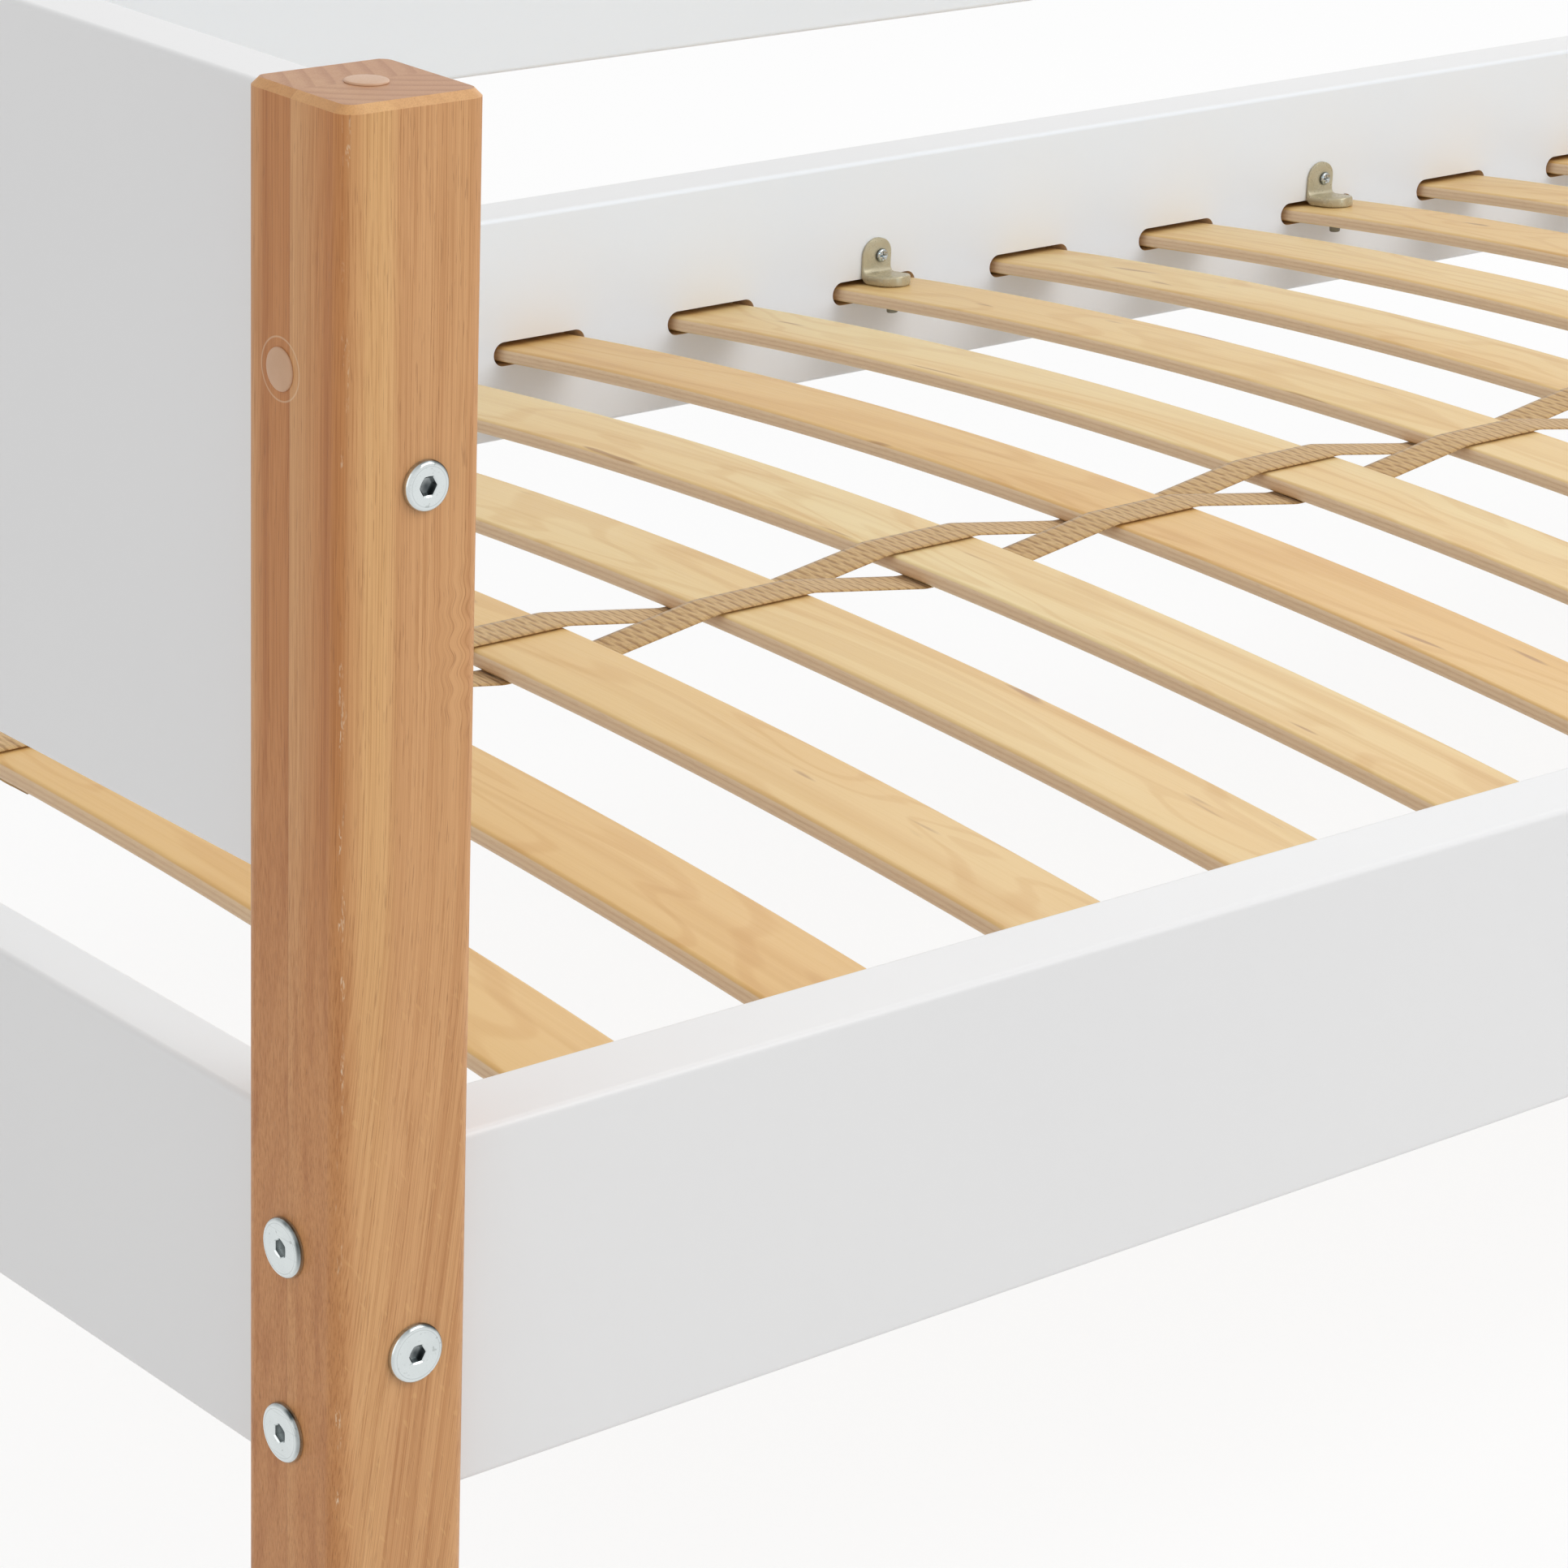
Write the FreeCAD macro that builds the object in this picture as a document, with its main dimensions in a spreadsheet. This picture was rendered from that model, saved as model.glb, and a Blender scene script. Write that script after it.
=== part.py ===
import FreeCAD, Part
import math
import os
import Sketcher

# A single bed. Four wooden posts carry white boards: two side rails, two end rails, two end panels
# and a back panel. Bowed slats span the side rails in routed slots and are threaded with two tapes.
# Millimetres. X runs along the bed, Y across it from front to back and Z up.
# The origin is on the floor below the middle of the bed.

SIZES = {
    # Lying space between the inner faces of the boards
    "inner_length": 2004,
    "inner_width": 911,
    # Posts
    "post_width": 51.5,
    "post_height": 675,
    "post_edge_radius": 6,
    "post_top_chamfer": 2.4,
    # Boards
    "rail_clearance": 214,
    "rail_height": 124,
    "panel_gap": 79,
    "panel_top_drop": 7,
    "side_rail_thickness": 33,
    "side_rail_recess": 11.5,
    "end_board_thickness": 25,
    "end_board_recess": 17,
    "back_panel_thickness": 25,
    "board_edge_radius": 2.4,
    # Slats and their slots
    "slat_end_margin": 162,
    "slat_width": 53,
    "slat_thickness": 8,
    "slat_edge_radius": 3,
    "slat_bow_radius": 3850,
    "slat_insert": 17,
    "slot_length": 62,
    "slot_height": 13.5,
    "slot_depth": 19,
    "slot_floor_share": 0.338,
    "seat_clearance": 0.3,
    # Woven tapes
    "tape_width": 21,
    "tape_thickness": 1.4,
    "tape_spacing": 23.7,
    "tape_offset": 6,
    "tape_clearance": 0.45,
    # Angle brackets on the slats
    "bracket_width": 21,
    "bracket_thickness": 2,
    "bracket_foot_thickness": 5.5,
    "bracket_rise": 26,
    "bracket_reach": 26,
    "bracket_bend_radius": 4,
    "bracket_round_share": 0.48,
    "bracket_screw_height": 15.7,
    "bracket_screw_offset": 2.5,
    "bracket_peg_inset": 15,
    "bracket_seat_gap": 0.3,
    "screw_diameter": 3.5,
    "screw_length": 20,
    "screw_head_diameter": 8,
    "screw_head_height": 2.4,
    "screw_head_bevel": 1.2,
    "screw_point_share": 0.45,
    "peg_diameter": 6.5,
    "peg_protrusion": 8,
    # Connector bolts and barrel nuts
    "bolt_diameter": 6,
    "rail_bolt_head_diameter": 20,
    "panel_bolt_head_diameter": 16,
    "bolt_head_height": 2.4,
    "bolt_head_bevel": 1.5,
    "bolt_socket_width": 5.5,
    "bolt_socket_depth": 2,
    "bolt_overreach": 7,
    "bolt_clearance": 0.5,
    "nut_diameter": 10,
    "nut_length": 14,
    "nut_inset": 32,
    "nut_slot_width": 1.5,
    "nut_slot_depth": 1.5,
    "nut_end_gap": 0.3,
    # Heights of bolts over the bottom edge of their board, and of the dowels below and above them,
    # as shares of the board's height
    "side_rail_low_bolt_share": 0.235,
    "side_rail_high_bolt_share": 0.757,
    "end_rail_bolt_share": 0.485,
    "end_panel_bolt_share": 0.565,
    "back_panel_bolt_share": 0.693,
    "rail_dowel_share": 0.258,
    "panel_dowel_share": 0.19,
    # Dowels, plugs and glides
    "dowel_diameter": 8,
    "dowel_in_post": 14,
    "dowel_in_board": 20,
    "dowel_end_chamfer": 1,
    "plug_diameter": 13.5,
    "plug_height": 1,
    "plug_edge_chamfer": 0.6,
    "plug_stem_length": 9,
    "glide_diameter": 30,
    "glide_height": 4,
    "glide_edge_chamfer": 1.2,
    "glide_pin_diameter": 6,
    "glide_pin_length": 14,
    # Room round a pin, dowel, screw or nut in its hole, and past the end of one in a blind hole
    "hole_clearance": 0.3,
    "hole_end_gap": 1,
    # How far a tool runs past the face where a cut starts
    "cut_overrun": 1,
}
SLAT_COUNT = 15
SLAT_COUNT_PER_BRACKET = 3
BRACKET_COUNT = 5

X_AXIS = FreeCAD.Vector(1, 0, 0)
Y_AXIS = FreeCAD.Vector(0, 1, 0)
Z_AXIS = FreeCAD.Vector(0, 0, 1)
MATCH_SHARE = 1e-6

doc = FreeCAD.newDocument("single_bed")
sizes = doc.addObject("Spreadsheet::Sheet", "sizes")
for row, (alias, size) in enumerate(SIZES.items(), 1):
    sizes.set(f"A{row}", alias)
    sizes.set(f"B{row}", str(size))
    sizes.setAlias(f"B{row}", alias)
doc.recompute()

# Places and sizes that follow from the sheet, as expressions
HALF_LENGTH = "(sizes.inner_length / 2 + sizes.end_board_recess + sizes.end_board_thickness)"
HALF_WIDTH = "(sizes.inner_width / 2 + sizes.side_rail_recess + sizes.side_rail_thickness)"
POST_HALF = "(sizes.post_width / 2)"
SIDE_LENGTH = f"(2 * ({HALF_LENGTH} - sizes.post_width))"
END_LENGTH = f"(2 * ({HALF_WIDTH} - sizes.post_width))"
PANEL_BOTTOM = "(sizes.rail_clearance + sizes.rail_height + sizes.panel_gap)"
PANEL_HEIGHT = f"(sizes.post_height - sizes.panel_top_drop - {PANEL_BOTTOM})"
# Middle planes of the boards, measured inwards from the outer faces of the posts
SIDE_RAIL_MIDDLE = "(sizes.side_rail_recess + sizes.side_rail_thickness / 2)"
BACK_PANEL_MIDDLE = (
    "(sizes.side_rail_recess + sizes.side_rail_thickness - sizes.back_panel_thickness / 2)"
)
END_BOARD_MIDDLE = "(sizes.end_board_recess + sizes.end_board_thickness / 2)"


def up(board_height, *shares):
    """Heights over the bottom edge of a board, each a sum of shares of the board's height."""
    return [f"({board_height} * ({share}))" for share in shares]


def up_either_side(board_height, bolt, spread):
    """The heights of the two dowels below and above a bolt."""
    return up(board_height, f"{bolt} - {spread}", f"{bolt} + {spread}")


RAIL_BOLTS = up("sizes.rail_height", "sizes.side_rail_low_bolt_share", "sizes.side_rail_high_bolt_share")
END_RAIL_BOLTS = up("sizes.rail_height", "sizes.end_rail_bolt_share")
END_PANEL_BOLTS = up(PANEL_HEIGHT, "sizes.end_panel_bolt_share")
BACK_PANEL_BOLTS = up(PANEL_HEIGHT, "sizes.back_panel_bolt_share")
END_RAIL_DOWELS = up_either_side(
    "sizes.rail_height", "sizes.end_rail_bolt_share", "sizes.rail_dowel_share"
)
END_PANEL_DOWELS = up_either_side(
    PANEL_HEIGHT, "sizes.end_panel_bolt_share", "sizes.panel_dowel_share"
)
BACK_PANEL_DOWELS = up_either_side(
    PANEL_HEIGHT, "sizes.back_panel_bolt_share", "sizes.panel_dowel_share"
)
BOLT_BORE = "(sizes.bolt_diameter + 2 * sizes.bolt_clearance)"
NUT_BORE = "(sizes.nut_diameter + 2 * sizes.hole_clearance)"
DOWEL_BORE = "(sizes.dowel_diameter + 2 * sizes.hole_clearance)"
BOLT_REACH = "(sizes.nut_inset + sizes.bolt_overreach)"
DOWEL_LENGTH = "(sizes.dowel_in_post + sizes.dowel_in_board)"
SLAT_PITCH = f"((sizes.inner_length - 2 * sizes.slat_end_margin) / {SLAT_COUNT - 1})"
# The slat's bow is an arc about an axis along X, far below the bed
SLAT_HALF_ANGLE = "asin((sizes.inner_width / 2 + sizes.slat_insert) / sizes.slat_bow_radius)"
SLOT_RISE = "(sizes.rail_height * sizes.slot_floor_share)"
SLOT_FLOOR = f"(sizes.rail_clearance + {SLOT_RISE})"
SLAT_LOWER_RADIUS = "(sizes.slat_bow_radius - sizes.slat_thickness / 2)"
SLAT_UPPER_RADIUS = "(sizes.slat_bow_radius + sizes.slat_thickness / 2)"
SLAT_AXIS = f"({SLOT_FLOOR} + sizes.seat_clearance - {SLAT_LOWER_RADIUS} * cos({SLAT_HALF_ANGLE}))"
SLAT_TOP = f"({SLAT_AXIS} + {SLAT_UPPER_RADIUS})"
# The slat's slope and top where it leaves the rail, which the bracket follows
MOUTH_ANGLE = f"asin(sizes.inner_width / 2 / {SLAT_UPPER_RADIUS})"
MOUTH_TOP = f"({SLAT_AXIS} + {SLAT_UPPER_RADIUS} * cos({MOUTH_ANGLE}))"
PEG_ANGLE = (
    f"asin((sizes.inner_width / 2 - sizes.bracket_peg_inset * cos({MOUTH_ANGLE}))"
    f" / {SLAT_UPPER_RADIUS})"
)
BRACKET_FOOT = f"({MOUTH_TOP} + sizes.bracket_seat_gap)"


def value(expression):
    """The number that an expression gives with the sizes in the sheet."""
    result = sizes.evalExpression(expression)
    return float(getattr(result, "Value", result))


def slat_x(index):
    """Place of a slat along the bed, counted from the left end."""
    return f"({index - (SLAT_COUNT - 1) / 2} * {SLAT_PITCH})"


def bracket_index(number):
    """The slat that carries a bracket, counted from the left end."""
    return (SLAT_COUNT - 1) // 2 + (number - BRACKET_COUNT // 2) * SLAT_COUNT_PER_BRACKET


# Document helpers

def add_body(name):
    body = doc.addObject("PartDesign::Body", name)
    body.Label = name
    return body


def origin(body, role):
    return next(item for item in body.Origin.OriginFeatures if item.Role == role)


def add_sketch(body, name, role, offset=None, tilt=None):
    """A sketch on one of the body's own planes, moved along its normal or tilted about X."""
    sketch = body.newObject("Sketcher::SketchObject", name)
    sketch.AttachmentSupport = (origin(body, role), [""])
    sketch.MapMode = "FlatFace"
    if offset:
        sketch.setExpression("AttachmentOffset.Base.z", offset)
    if tilt:
        sketch.AttachmentOffset = FreeCAD.Placement(
            FreeCAD.Vector(), FreeCAD.Rotation(X_AXIS, value(tilt))
        )
        sketch.setExpression("AttachmentOffset.Rotation.Angle", tilt)
    return sketch


def bind(sketch, expression, kind, *where):
    """A dimension of the sketch that follows an expression."""
    number = sketch.addConstraint(Sketcher.Constraint(kind, *where, value(expression)))
    name = f"size_{number}"
    sketch.renameConstraint(number, name)
    sketch.setExpression(f"Constraints.{name}", expression)


def place_point(sketch, x, y, *point):
    bind(sketch, x, "DistanceX", -1, 1, *point)
    bind(sketch, y, "DistanceY", -1, 1, *point)


def draw_circles(sketch, centres, diameter):
    for x, y in centres:
        centre = FreeCAD.Vector(value(x), value(y), 0)
        circle = sketch.addGeometry(Part.Circle(centre, Z_AXIS, value(diameter) / 2))
        bind(sketch, diameter, "Diameter", circle)
        place_point(sketch, x, y, circle, 3)


def draw_chain(sketch, points):
    """A closed chain of straight lines through points, joined at their ends."""
    lines = []
    for start, end in zip(points, points[1:] + points[:1]):
        lines.append(sketch.addGeometry(Part.LineSegment(start, end)))
    for line, following in zip(lines, lines[1:] + lines[:1]):
        sketch.addConstraint(Sketcher.Constraint("Coincident", line, 2, following, 1))
    return lines


def arc(centre, radius, start_degrees, end_degrees):
    circle = Part.Circle(centre, Z_AXIS, radius)
    return Part.ArcOfCircle(circle, math.radians(start_degrees), math.radians(end_degrees))


def draw_rounded_rectangle(sketch, left, bottom, width, height, radius):
    """Four lines and four equal corner arcs, anticlockwise from the bottom line."""
    x0, y0, r = value(left), value(bottom), value(radius)
    x1, y1 = x0 + value(width), y0 + value(height)
    corners = [(x1 - r, y0 + r), (x1 - r, y1 - r), (x0 + r, y1 - r), (x0 + r, y0 + r)]
    starts = [(x0 + r, y0), (x1, y0 + r), (x1 - r, y1), (x0, y1 - r)]
    ends = [(x1 - r, y0), (x1, y1 - r), (x0 + r, y1), (x0, y0 + r)]
    pieces = []
    for number in range(4):
        line = Part.LineSegment(FreeCAD.Vector(*starts[number], 0), FreeCAD.Vector(*ends[number], 0))
        pieces.append(sketch.addGeometry(line))
        turn_angle = 90 * (number - 1)
        corner = arc(FreeCAD.Vector(*corners[number], 0), r, turn_angle, turn_angle + 90)
        pieces.append(sketch.addGeometry(corner))
    lines, arcs = pieces[0::2], pieces[1::2]
    for number in range(4):
        sketch.addConstraint(Sketcher.Constraint("Tangent", lines[number], 2, arcs[number], 1))
        following = lines[(number + 1) % 4]
        sketch.addConstraint(Sketcher.Constraint("Tangent", arcs[number], 2, following, 1))
        level = "Horizontal" if number % 2 == 0 else "Vertical"
        sketch.addConstraint(Sketcher.Constraint(level, lines[number]))
    for other in arcs[1:]:
        sketch.addConstraint(Sketcher.Constraint("Equal", arcs[0], other))
    bind(sketch, radius, "Radius", arcs[0])
    bind(sketch, f"({width} - 2 * {radius})", "DistanceX", lines[0], 1, lines[0], 2)
    bind(sketch, f"({height} - 2 * {radius})", "DistanceY", lines[1], 1, lines[1], 2)
    place_point(sketch, f"({left} + {radius})", bottom, lines[0], 1)


def draw_obround(sketch, x, y, length, width):
    """A slot outline with round ends, centred on a point."""
    half = (value(length) - value(width)) / 2
    r = value(width) / 2
    middle = FreeCAD.Vector(value(x), value(y), 0)
    right, left = middle + X_AXIS * half, middle - X_AXIS * half
    lower = sketch.addGeometry(Part.LineSegment(left - Y_AXIS * r, right - Y_AXIS * r))
    right_end = sketch.addGeometry(arc(right, r, -90, 90))
    upper = sketch.addGeometry(Part.LineSegment(right + Y_AXIS * r, left + Y_AXIS * r))
    left_end = sketch.addGeometry(arc(left, r, 90, 270))
    chain = [lower, right_end, upper, left_end]
    for piece, following in zip(chain, chain[1:] + chain[:1]):
        sketch.addConstraint(Sketcher.Constraint("Tangent", piece, 2, following, 1))
    sketch.addConstraint(Sketcher.Constraint("Horizontal", lower))
    sketch.addConstraint(Sketcher.Constraint("Equal", right_end, left_end))
    bind(sketch, f"({width} / 2)", "Radius", right_end)
    bind(sketch, f"({length} - {width})", "DistanceX", left_end, 3, right_end, 3)
    place_point(sketch, f"({x} - ({length} - {width}) / 2)", y, left_end, 3)


def add_pad(body, sketch, length, symmetric=False, backwards=False):
    pad = body.newObject("PartDesign::Pad", "pad_" + sketch.Name)
    pad.Profile = sketch
    pad.setExpression("Length", length)
    pad.SideType = "Symmetric" if symmetric else "One side"
    pad.Reversed = backwards
    return pad


def add_pocket(body, sketch, depth=None, forwards=False):
    """A cut from the sketch against its normal, or along it; right through if it has no depth."""
    volume = tip_volume(body)
    pocket = body.newObject("PartDesign::Pocket", "cut_" + sketch.Name)
    pocket.Profile = sketch
    pocket.Reversed = forwards
    if depth:
        pocket.setExpression("Length", depth)
    else:
        pocket.Type = "ThroughAll"
        pocket.SideType = "Symmetric"
    doc.recompute()
    if not pocket.Shape.Volume < volume:
        raise ValueError(f"{pocket.Label} cuts nothing")
    return pocket


def tip_volume(body):
    doc.recompute()
    return body.Shape.Volume


def edges_where(feature, test):
    doc.recompute()
    return [f"Edge{number}" for number, edge in enumerate(feature.Shape.Edges, 1) if test(edge)]


def dress(body, kind, feature, edges, size):
    """A fillet or chamfer on named edges of a feature."""
    dressing = body.newObject(f"PartDesign::{kind}", f"{kind.lower()}_{feature.Name}")
    dressing.Base = (feature, edges)
    dressing.setExpression("Radius" if kind == "Fillet" else "Size", size)
    return dressing


def bevel_rim(body, feature, size, low=False):
    """A chamfer round the highest or lowest rim of a feature."""
    doc.recompute()
    box = feature.Shape.BoundBox
    near = MATCH_SHARE * box.DiagonalLength
    if low:
        rim = edges_where(feature, lambda edge: edge.BoundBox.ZMax < box.ZMin + near)
    else:
        rim = edges_where(feature, lambda edge: edge.BoundBox.ZMin > box.ZMax - near)
    return dress(body, "Chamfer", feature, rim, size)


def place(item, x, y, z, turn_angle=0, axis=Z_AXIS):
    """Place an item by expressions, turned by a fixed angle about an axis."""
    item.Placement = FreeCAD.Placement(FreeCAD.Vector(), FreeCAD.Rotation(axis, turn_angle))
    for name, expression in zip("xyz", (x, y, z)):
        item.setExpression(f"Placement.Base.{name}", expression)
    return item


def add_copy(original, x, y, z, turn_angle=0, axis=Z_AXIS):
    """One more of a piece that comes several times."""
    copy = doc.addObject("App::Link", original.Name + "_copy")
    copy.LinkedObject = original
    return place(copy, x, y, z, turn_angle, axis)


def add_group(name, copies):
    group = doc.addObject("Part::Compound", name)
    group.Label = name
    group.Links = copies
    return group


# Posts

def add_post(name, end, side, has_dowels_for_back_panel):
    """A post at the left (-1) or right (1) end, on the front (-1) or back (1) side."""
    body = add_body(name)
    outline = add_sketch(body, "outline_" + name, "XY_Plane")
    draw_rounded_rectangle(
        outline, f"(-{POST_HALF})", f"(-{POST_HALF})", "sizes.post_width", "sizes.post_width",
        "sizes.post_edge_radius",
    )
    height = "(sizes.post_height - sizes.glide_height)"
    stem = add_pad(body, outline, height)
    bevel_rim(body, stem, "sizes.post_top_chamfer")

    def above_foot(base, heights):
        return [f"({base} + {height} - sizes.glide_height)" for height in heights]

    side_y = f"({side} * ({POST_HALF} - {SIDE_RAIL_MIDDLE}))"
    panel_y = f"({side} * ({POST_HALF} - {BACK_PANEL_MIDDLE}))"
    end_x = f"({end} * ({POST_HALF} - {END_BOARD_MIDDLE}))"
    along = add_sketch(body, "bores_along_" + name, "YZ_Plane")
    centres = [(side_y, z) for z in above_foot("sizes.rail_clearance", RAIL_BOLTS)]
    centres += [(panel_y, z) for z in above_foot(PANEL_BOTTOM, BACK_PANEL_BOLTS)]
    draw_circles(along, centres, BOLT_BORE)
    add_pocket(body, along)
    across = add_sketch(body, "bores_across_" + name, "XZ_Plane")
    heights = above_foot("sizes.rail_clearance", END_RAIL_BOLTS)
    heights += above_foot(PANEL_BOTTOM, END_PANEL_BOLTS)
    draw_circles(across, [(end_x, z) for z in heights], BOLT_BORE)
    add_pocket(body, across)

    hole_depth = "(sizes.dowel_in_post + sizes.hole_end_gap)"
    inner_y = add_sketch(body, "dowels_across_" + name, "XZ_Plane", f"({side} * {POST_HALF})")
    heights = above_foot("sizes.rail_clearance", END_RAIL_DOWELS)
    heights += above_foot(PANEL_BOTTOM, END_PANEL_DOWELS)
    draw_circles(inner_y, [(end_x, z) for z in heights], DOWEL_BORE)
    add_pocket(body, inner_y, hole_depth, forwards=side < 0)
    if has_dowels_for_back_panel:
        inner_x = add_sketch(body, "dowels_along_" + name, "YZ_Plane", f"({-end} * {POST_HALF})")
        heights = above_foot(PANEL_BOTTOM, BACK_PANEL_DOWELS)
        draw_circles(inner_x, [(panel_y, z) for z in heights], DOWEL_BORE)
        add_pocket(body, inner_x, hole_depth, forwards=end > 0)

    crown = add_sketch(body, "crown_" + name, "XY_Plane", height)
    draw_circles(crown, [("0", "0")], BOLT_BORE)
    add_pocket(body, crown, "(sizes.plug_stem_length + sizes.hole_end_gap)")
    foot = add_sketch(body, "foot_" + name, "XY_Plane")
    pin_bore = "(sizes.glide_pin_diameter + 2 * sizes.hole_clearance)"
    draw_circles(foot, [("0", "0")], pin_bore)
    add_pocket(body, foot, "(sizes.glide_pin_length + sizes.hole_end_gap)", forwards=True)
    return place(body, f"({end} * ({HALF_LENGTH} - {POST_HALF}))",
                 f"({side} * ({HALF_WIDTH} - {POST_HALF}))", "sizes.glide_height")


# Boards

def add_board(name, length, height, thickness, bolts, dowels):
    """A board along X whose inner face looks to +Y, drilled alike at both ends."""
    body = add_body(name)
    section = add_sketch(body, "section_" + name, "YZ_Plane")
    draw_rounded_rectangle(
        section, f"(-{thickness} / 2)", "0", thickness, height,
        "sizes.board_edge_radius",
    )
    add_pad(body, section, length, symmetric=True)
    drillings = []
    bolt_holes = add_sketch(body, "bolts_" + name, "YZ_Plane", f"({length} / 2)")
    draw_circles(bolt_holes, [("0", z) for z in bolts], BOLT_BORE)
    drillings.append(add_pocket(body, bolt_holes, f"({BOLT_REACH} + sizes.hole_end_gap)"))
    nut_holes = add_sketch(body, "nuts_" + name, "XZ_Plane", f"(-{thickness} / 2)")
    nut_x = f"({length} / 2 - sizes.nut_inset)"
    draw_circles(nut_holes, [(nut_x, z) for z in bolts], NUT_BORE)
    nut_depth = f"(({thickness} + sizes.nut_length) / 2 + sizes.nut_end_gap)"
    drillings.append(add_pocket(body, nut_holes, nut_depth, forwards=True))
    if dowels:
        dowel_holes = add_sketch(body, "dowels_" + name, "YZ_Plane", f"({length} / 2)")
        draw_circles(dowel_holes, [("0", z) for z in dowels], DOWEL_BORE)
        depth = "(sizes.dowel_in_board + sizes.hole_end_gap)"
        drillings.append(add_pocket(body, dowel_holes, depth))
    mirrored = body.newObject("PartDesign::Mirrored", "both_ends_" + name)
    mirrored.Originals = drillings
    mirrored.MirrorPlane = (origin(body, "YZ_Plane"), [""])
    body.Tip = mirrored
    return body


def add_row(body, pocket, spacing, count):
    """Repeat a cut along the board, from its first place at the left."""
    pattern = body.newObject("PartDesign::LinearPattern", "row_" + pocket.Name)
    pattern.Originals = [pocket]
    pattern.Direction = (origin(body, "X_Axis"), [""])
    pattern.Mode = "Extent"
    pattern.setExpression("Length", f"({count - 1} * {spacing})")
    pattern.Occurrences = count
    body.Tip = pattern
    return pattern


def add_side_rail(name):
    """A side rail with the slots for the slats and the pilot holes for the bracket screws."""
    body = add_board(name, SIDE_LENGTH, "sizes.rail_height", "sizes.side_rail_thickness",
                     RAIL_BOLTS, [])
    face = "(-sizes.side_rail_thickness / 2)"
    slot = add_sketch(body, "slot_" + name, "XZ_Plane", face)
    slot_z = f"({SLOT_RISE} + sizes.slot_height / 2)"
    draw_obround(slot, slat_x(0), slot_z, "sizes.slot_length", "sizes.slot_height")
    add_row(body, add_pocket(body, slot, "sizes.slot_depth", forwards=True), SLAT_PITCH, SLAT_COUNT)
    pilot = add_sketch(body, "pilot_" + name, "XZ_Plane", face)
    pilot_z = f"({BRACKET_FOOT} + sizes.bracket_screw_height - sizes.rail_clearance)"
    pilot_bore = "(sizes.screw_diameter + 2 * sizes.hole_clearance)"
    pilot_x = f"({slat_x(bracket_index(0))} - sizes.bracket_screw_offset)"
    draw_circles(pilot, [(pilot_x, pilot_z)], pilot_bore)
    depth = "(sizes.screw_length + sizes.hole_end_gap)"
    add_row(body, add_pocket(body, pilot, depth, forwards=True),
            f"{SLAT_COUNT_PER_BRACKET} * {SLAT_PITCH}", BRACKET_COUNT)
    return body


# Slats and tapes

def add_slat(index, has_brackets):
    """A bowed slat: its rounded section turned about the far axis of the bow."""
    name = f"slat_{index + 1:02d}"
    body = add_body(name)
    section = add_sketch(body, "section_" + name, "XZ_Plane")
    draw_rounded_rectangle(
        section, "(-sizes.slat_width / 2)", SLAT_LOWER_RADIUS, "sizes.slat_width",
        "sizes.slat_thickness", "sizes.slat_edge_radius",
    )
    bow = body.newObject("PartDesign::Revolution", "bow_" + name)
    bow.Profile = section
    bow.ReferenceAxis = (section, ["H_Axis"])
    bow.setExpression("Angle", f"2 * {SLAT_HALF_ANGLE}")
    bow.Midplane = True
    if has_brackets:
        peg = add_sketch(body, "peg_" + name, "XY_Plane", tilt=PEG_ANGLE)
        peg_bore = "(sizes.peg_diameter + 2 * sizes.hole_clearance)"
        draw_circles(peg, [("0", "0")], peg_bore)
        hole = add_pocket(body, peg, "(sizes.slat_bow_radius + sizes.slat_thickness)", forwards=True)
        mirrored = body.newObject("PartDesign::Mirrored", "both_pegs_" + name)
        mirrored.Originals = [hole]
        mirrored.MirrorPlane = (origin(body, "XZ_Plane"), [""])
        body.Tip = mirrored
    return place(body, slat_x(index), "0", SLAT_AXIS)


def tape_edge(level_sign, shift):
    """One long edge of a tape, seen from the side, as lines and arcs from left to right.

    The tape lies flat on or under each slat, bends round the slat's rounded edge and runs
    straight to the other face of the next slat. level_sign is 1 where the first slat is
    passed above, and shift is the edge's height over the middle of the tape.
    """
    pitch = value(SLAT_PITCH)
    corner_x = value("sizes.slat_width / 2 - sizes.slat_edge_radius")
    corner_z = value("sizes.slat_thickness / 2 - sizes.slat_edge_radius")
    bend = value("sizes.slat_edge_radius + sizes.tape_clearance + sizes.tape_thickness / 2")
    run, fall = pitch - 2 * corner_x, 2 * corner_z
    slope = math.asin(2 * bend / math.hypot(run, fall)) + math.atan2(fall, run)
    middle = value(SLAT_TOP) - value("sizes.slat_thickness") / 2
    edges = []
    start = None
    for index in range(SLAT_COUNT):
        sign = level_sign * (-1) ** index
        radius = bend + sign * shift
        for side in (-1, 1):
            centre = FreeCAD.Vector(value(slat_x(index)) + side * corner_x, 0, middle + sign * corner_z)
            flat = centre + Z_AXIS * sign * radius
            half = FreeCAD.Vector(side * math.sin(slope / 2), 0, sign * math.cos(slope / 2))
            full = FreeCAD.Vector(side * math.sin(slope), 0, sign * math.cos(slope))
            is_end = (index, side) in ((0, -1), (SLAT_COUNT - 1, 1))
            points = [flat] if is_end else [flat, centre + half * radius, centre + full * radius]
            if side < 0:
                points.reverse()
            if start is not None:
                edges.append(Part.LineSegment(start, points[0]).toShape())
            if not is_end:
                edges.append(Part.Arc(*points).toShape())
            start = points[-1]
    return edges


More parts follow.
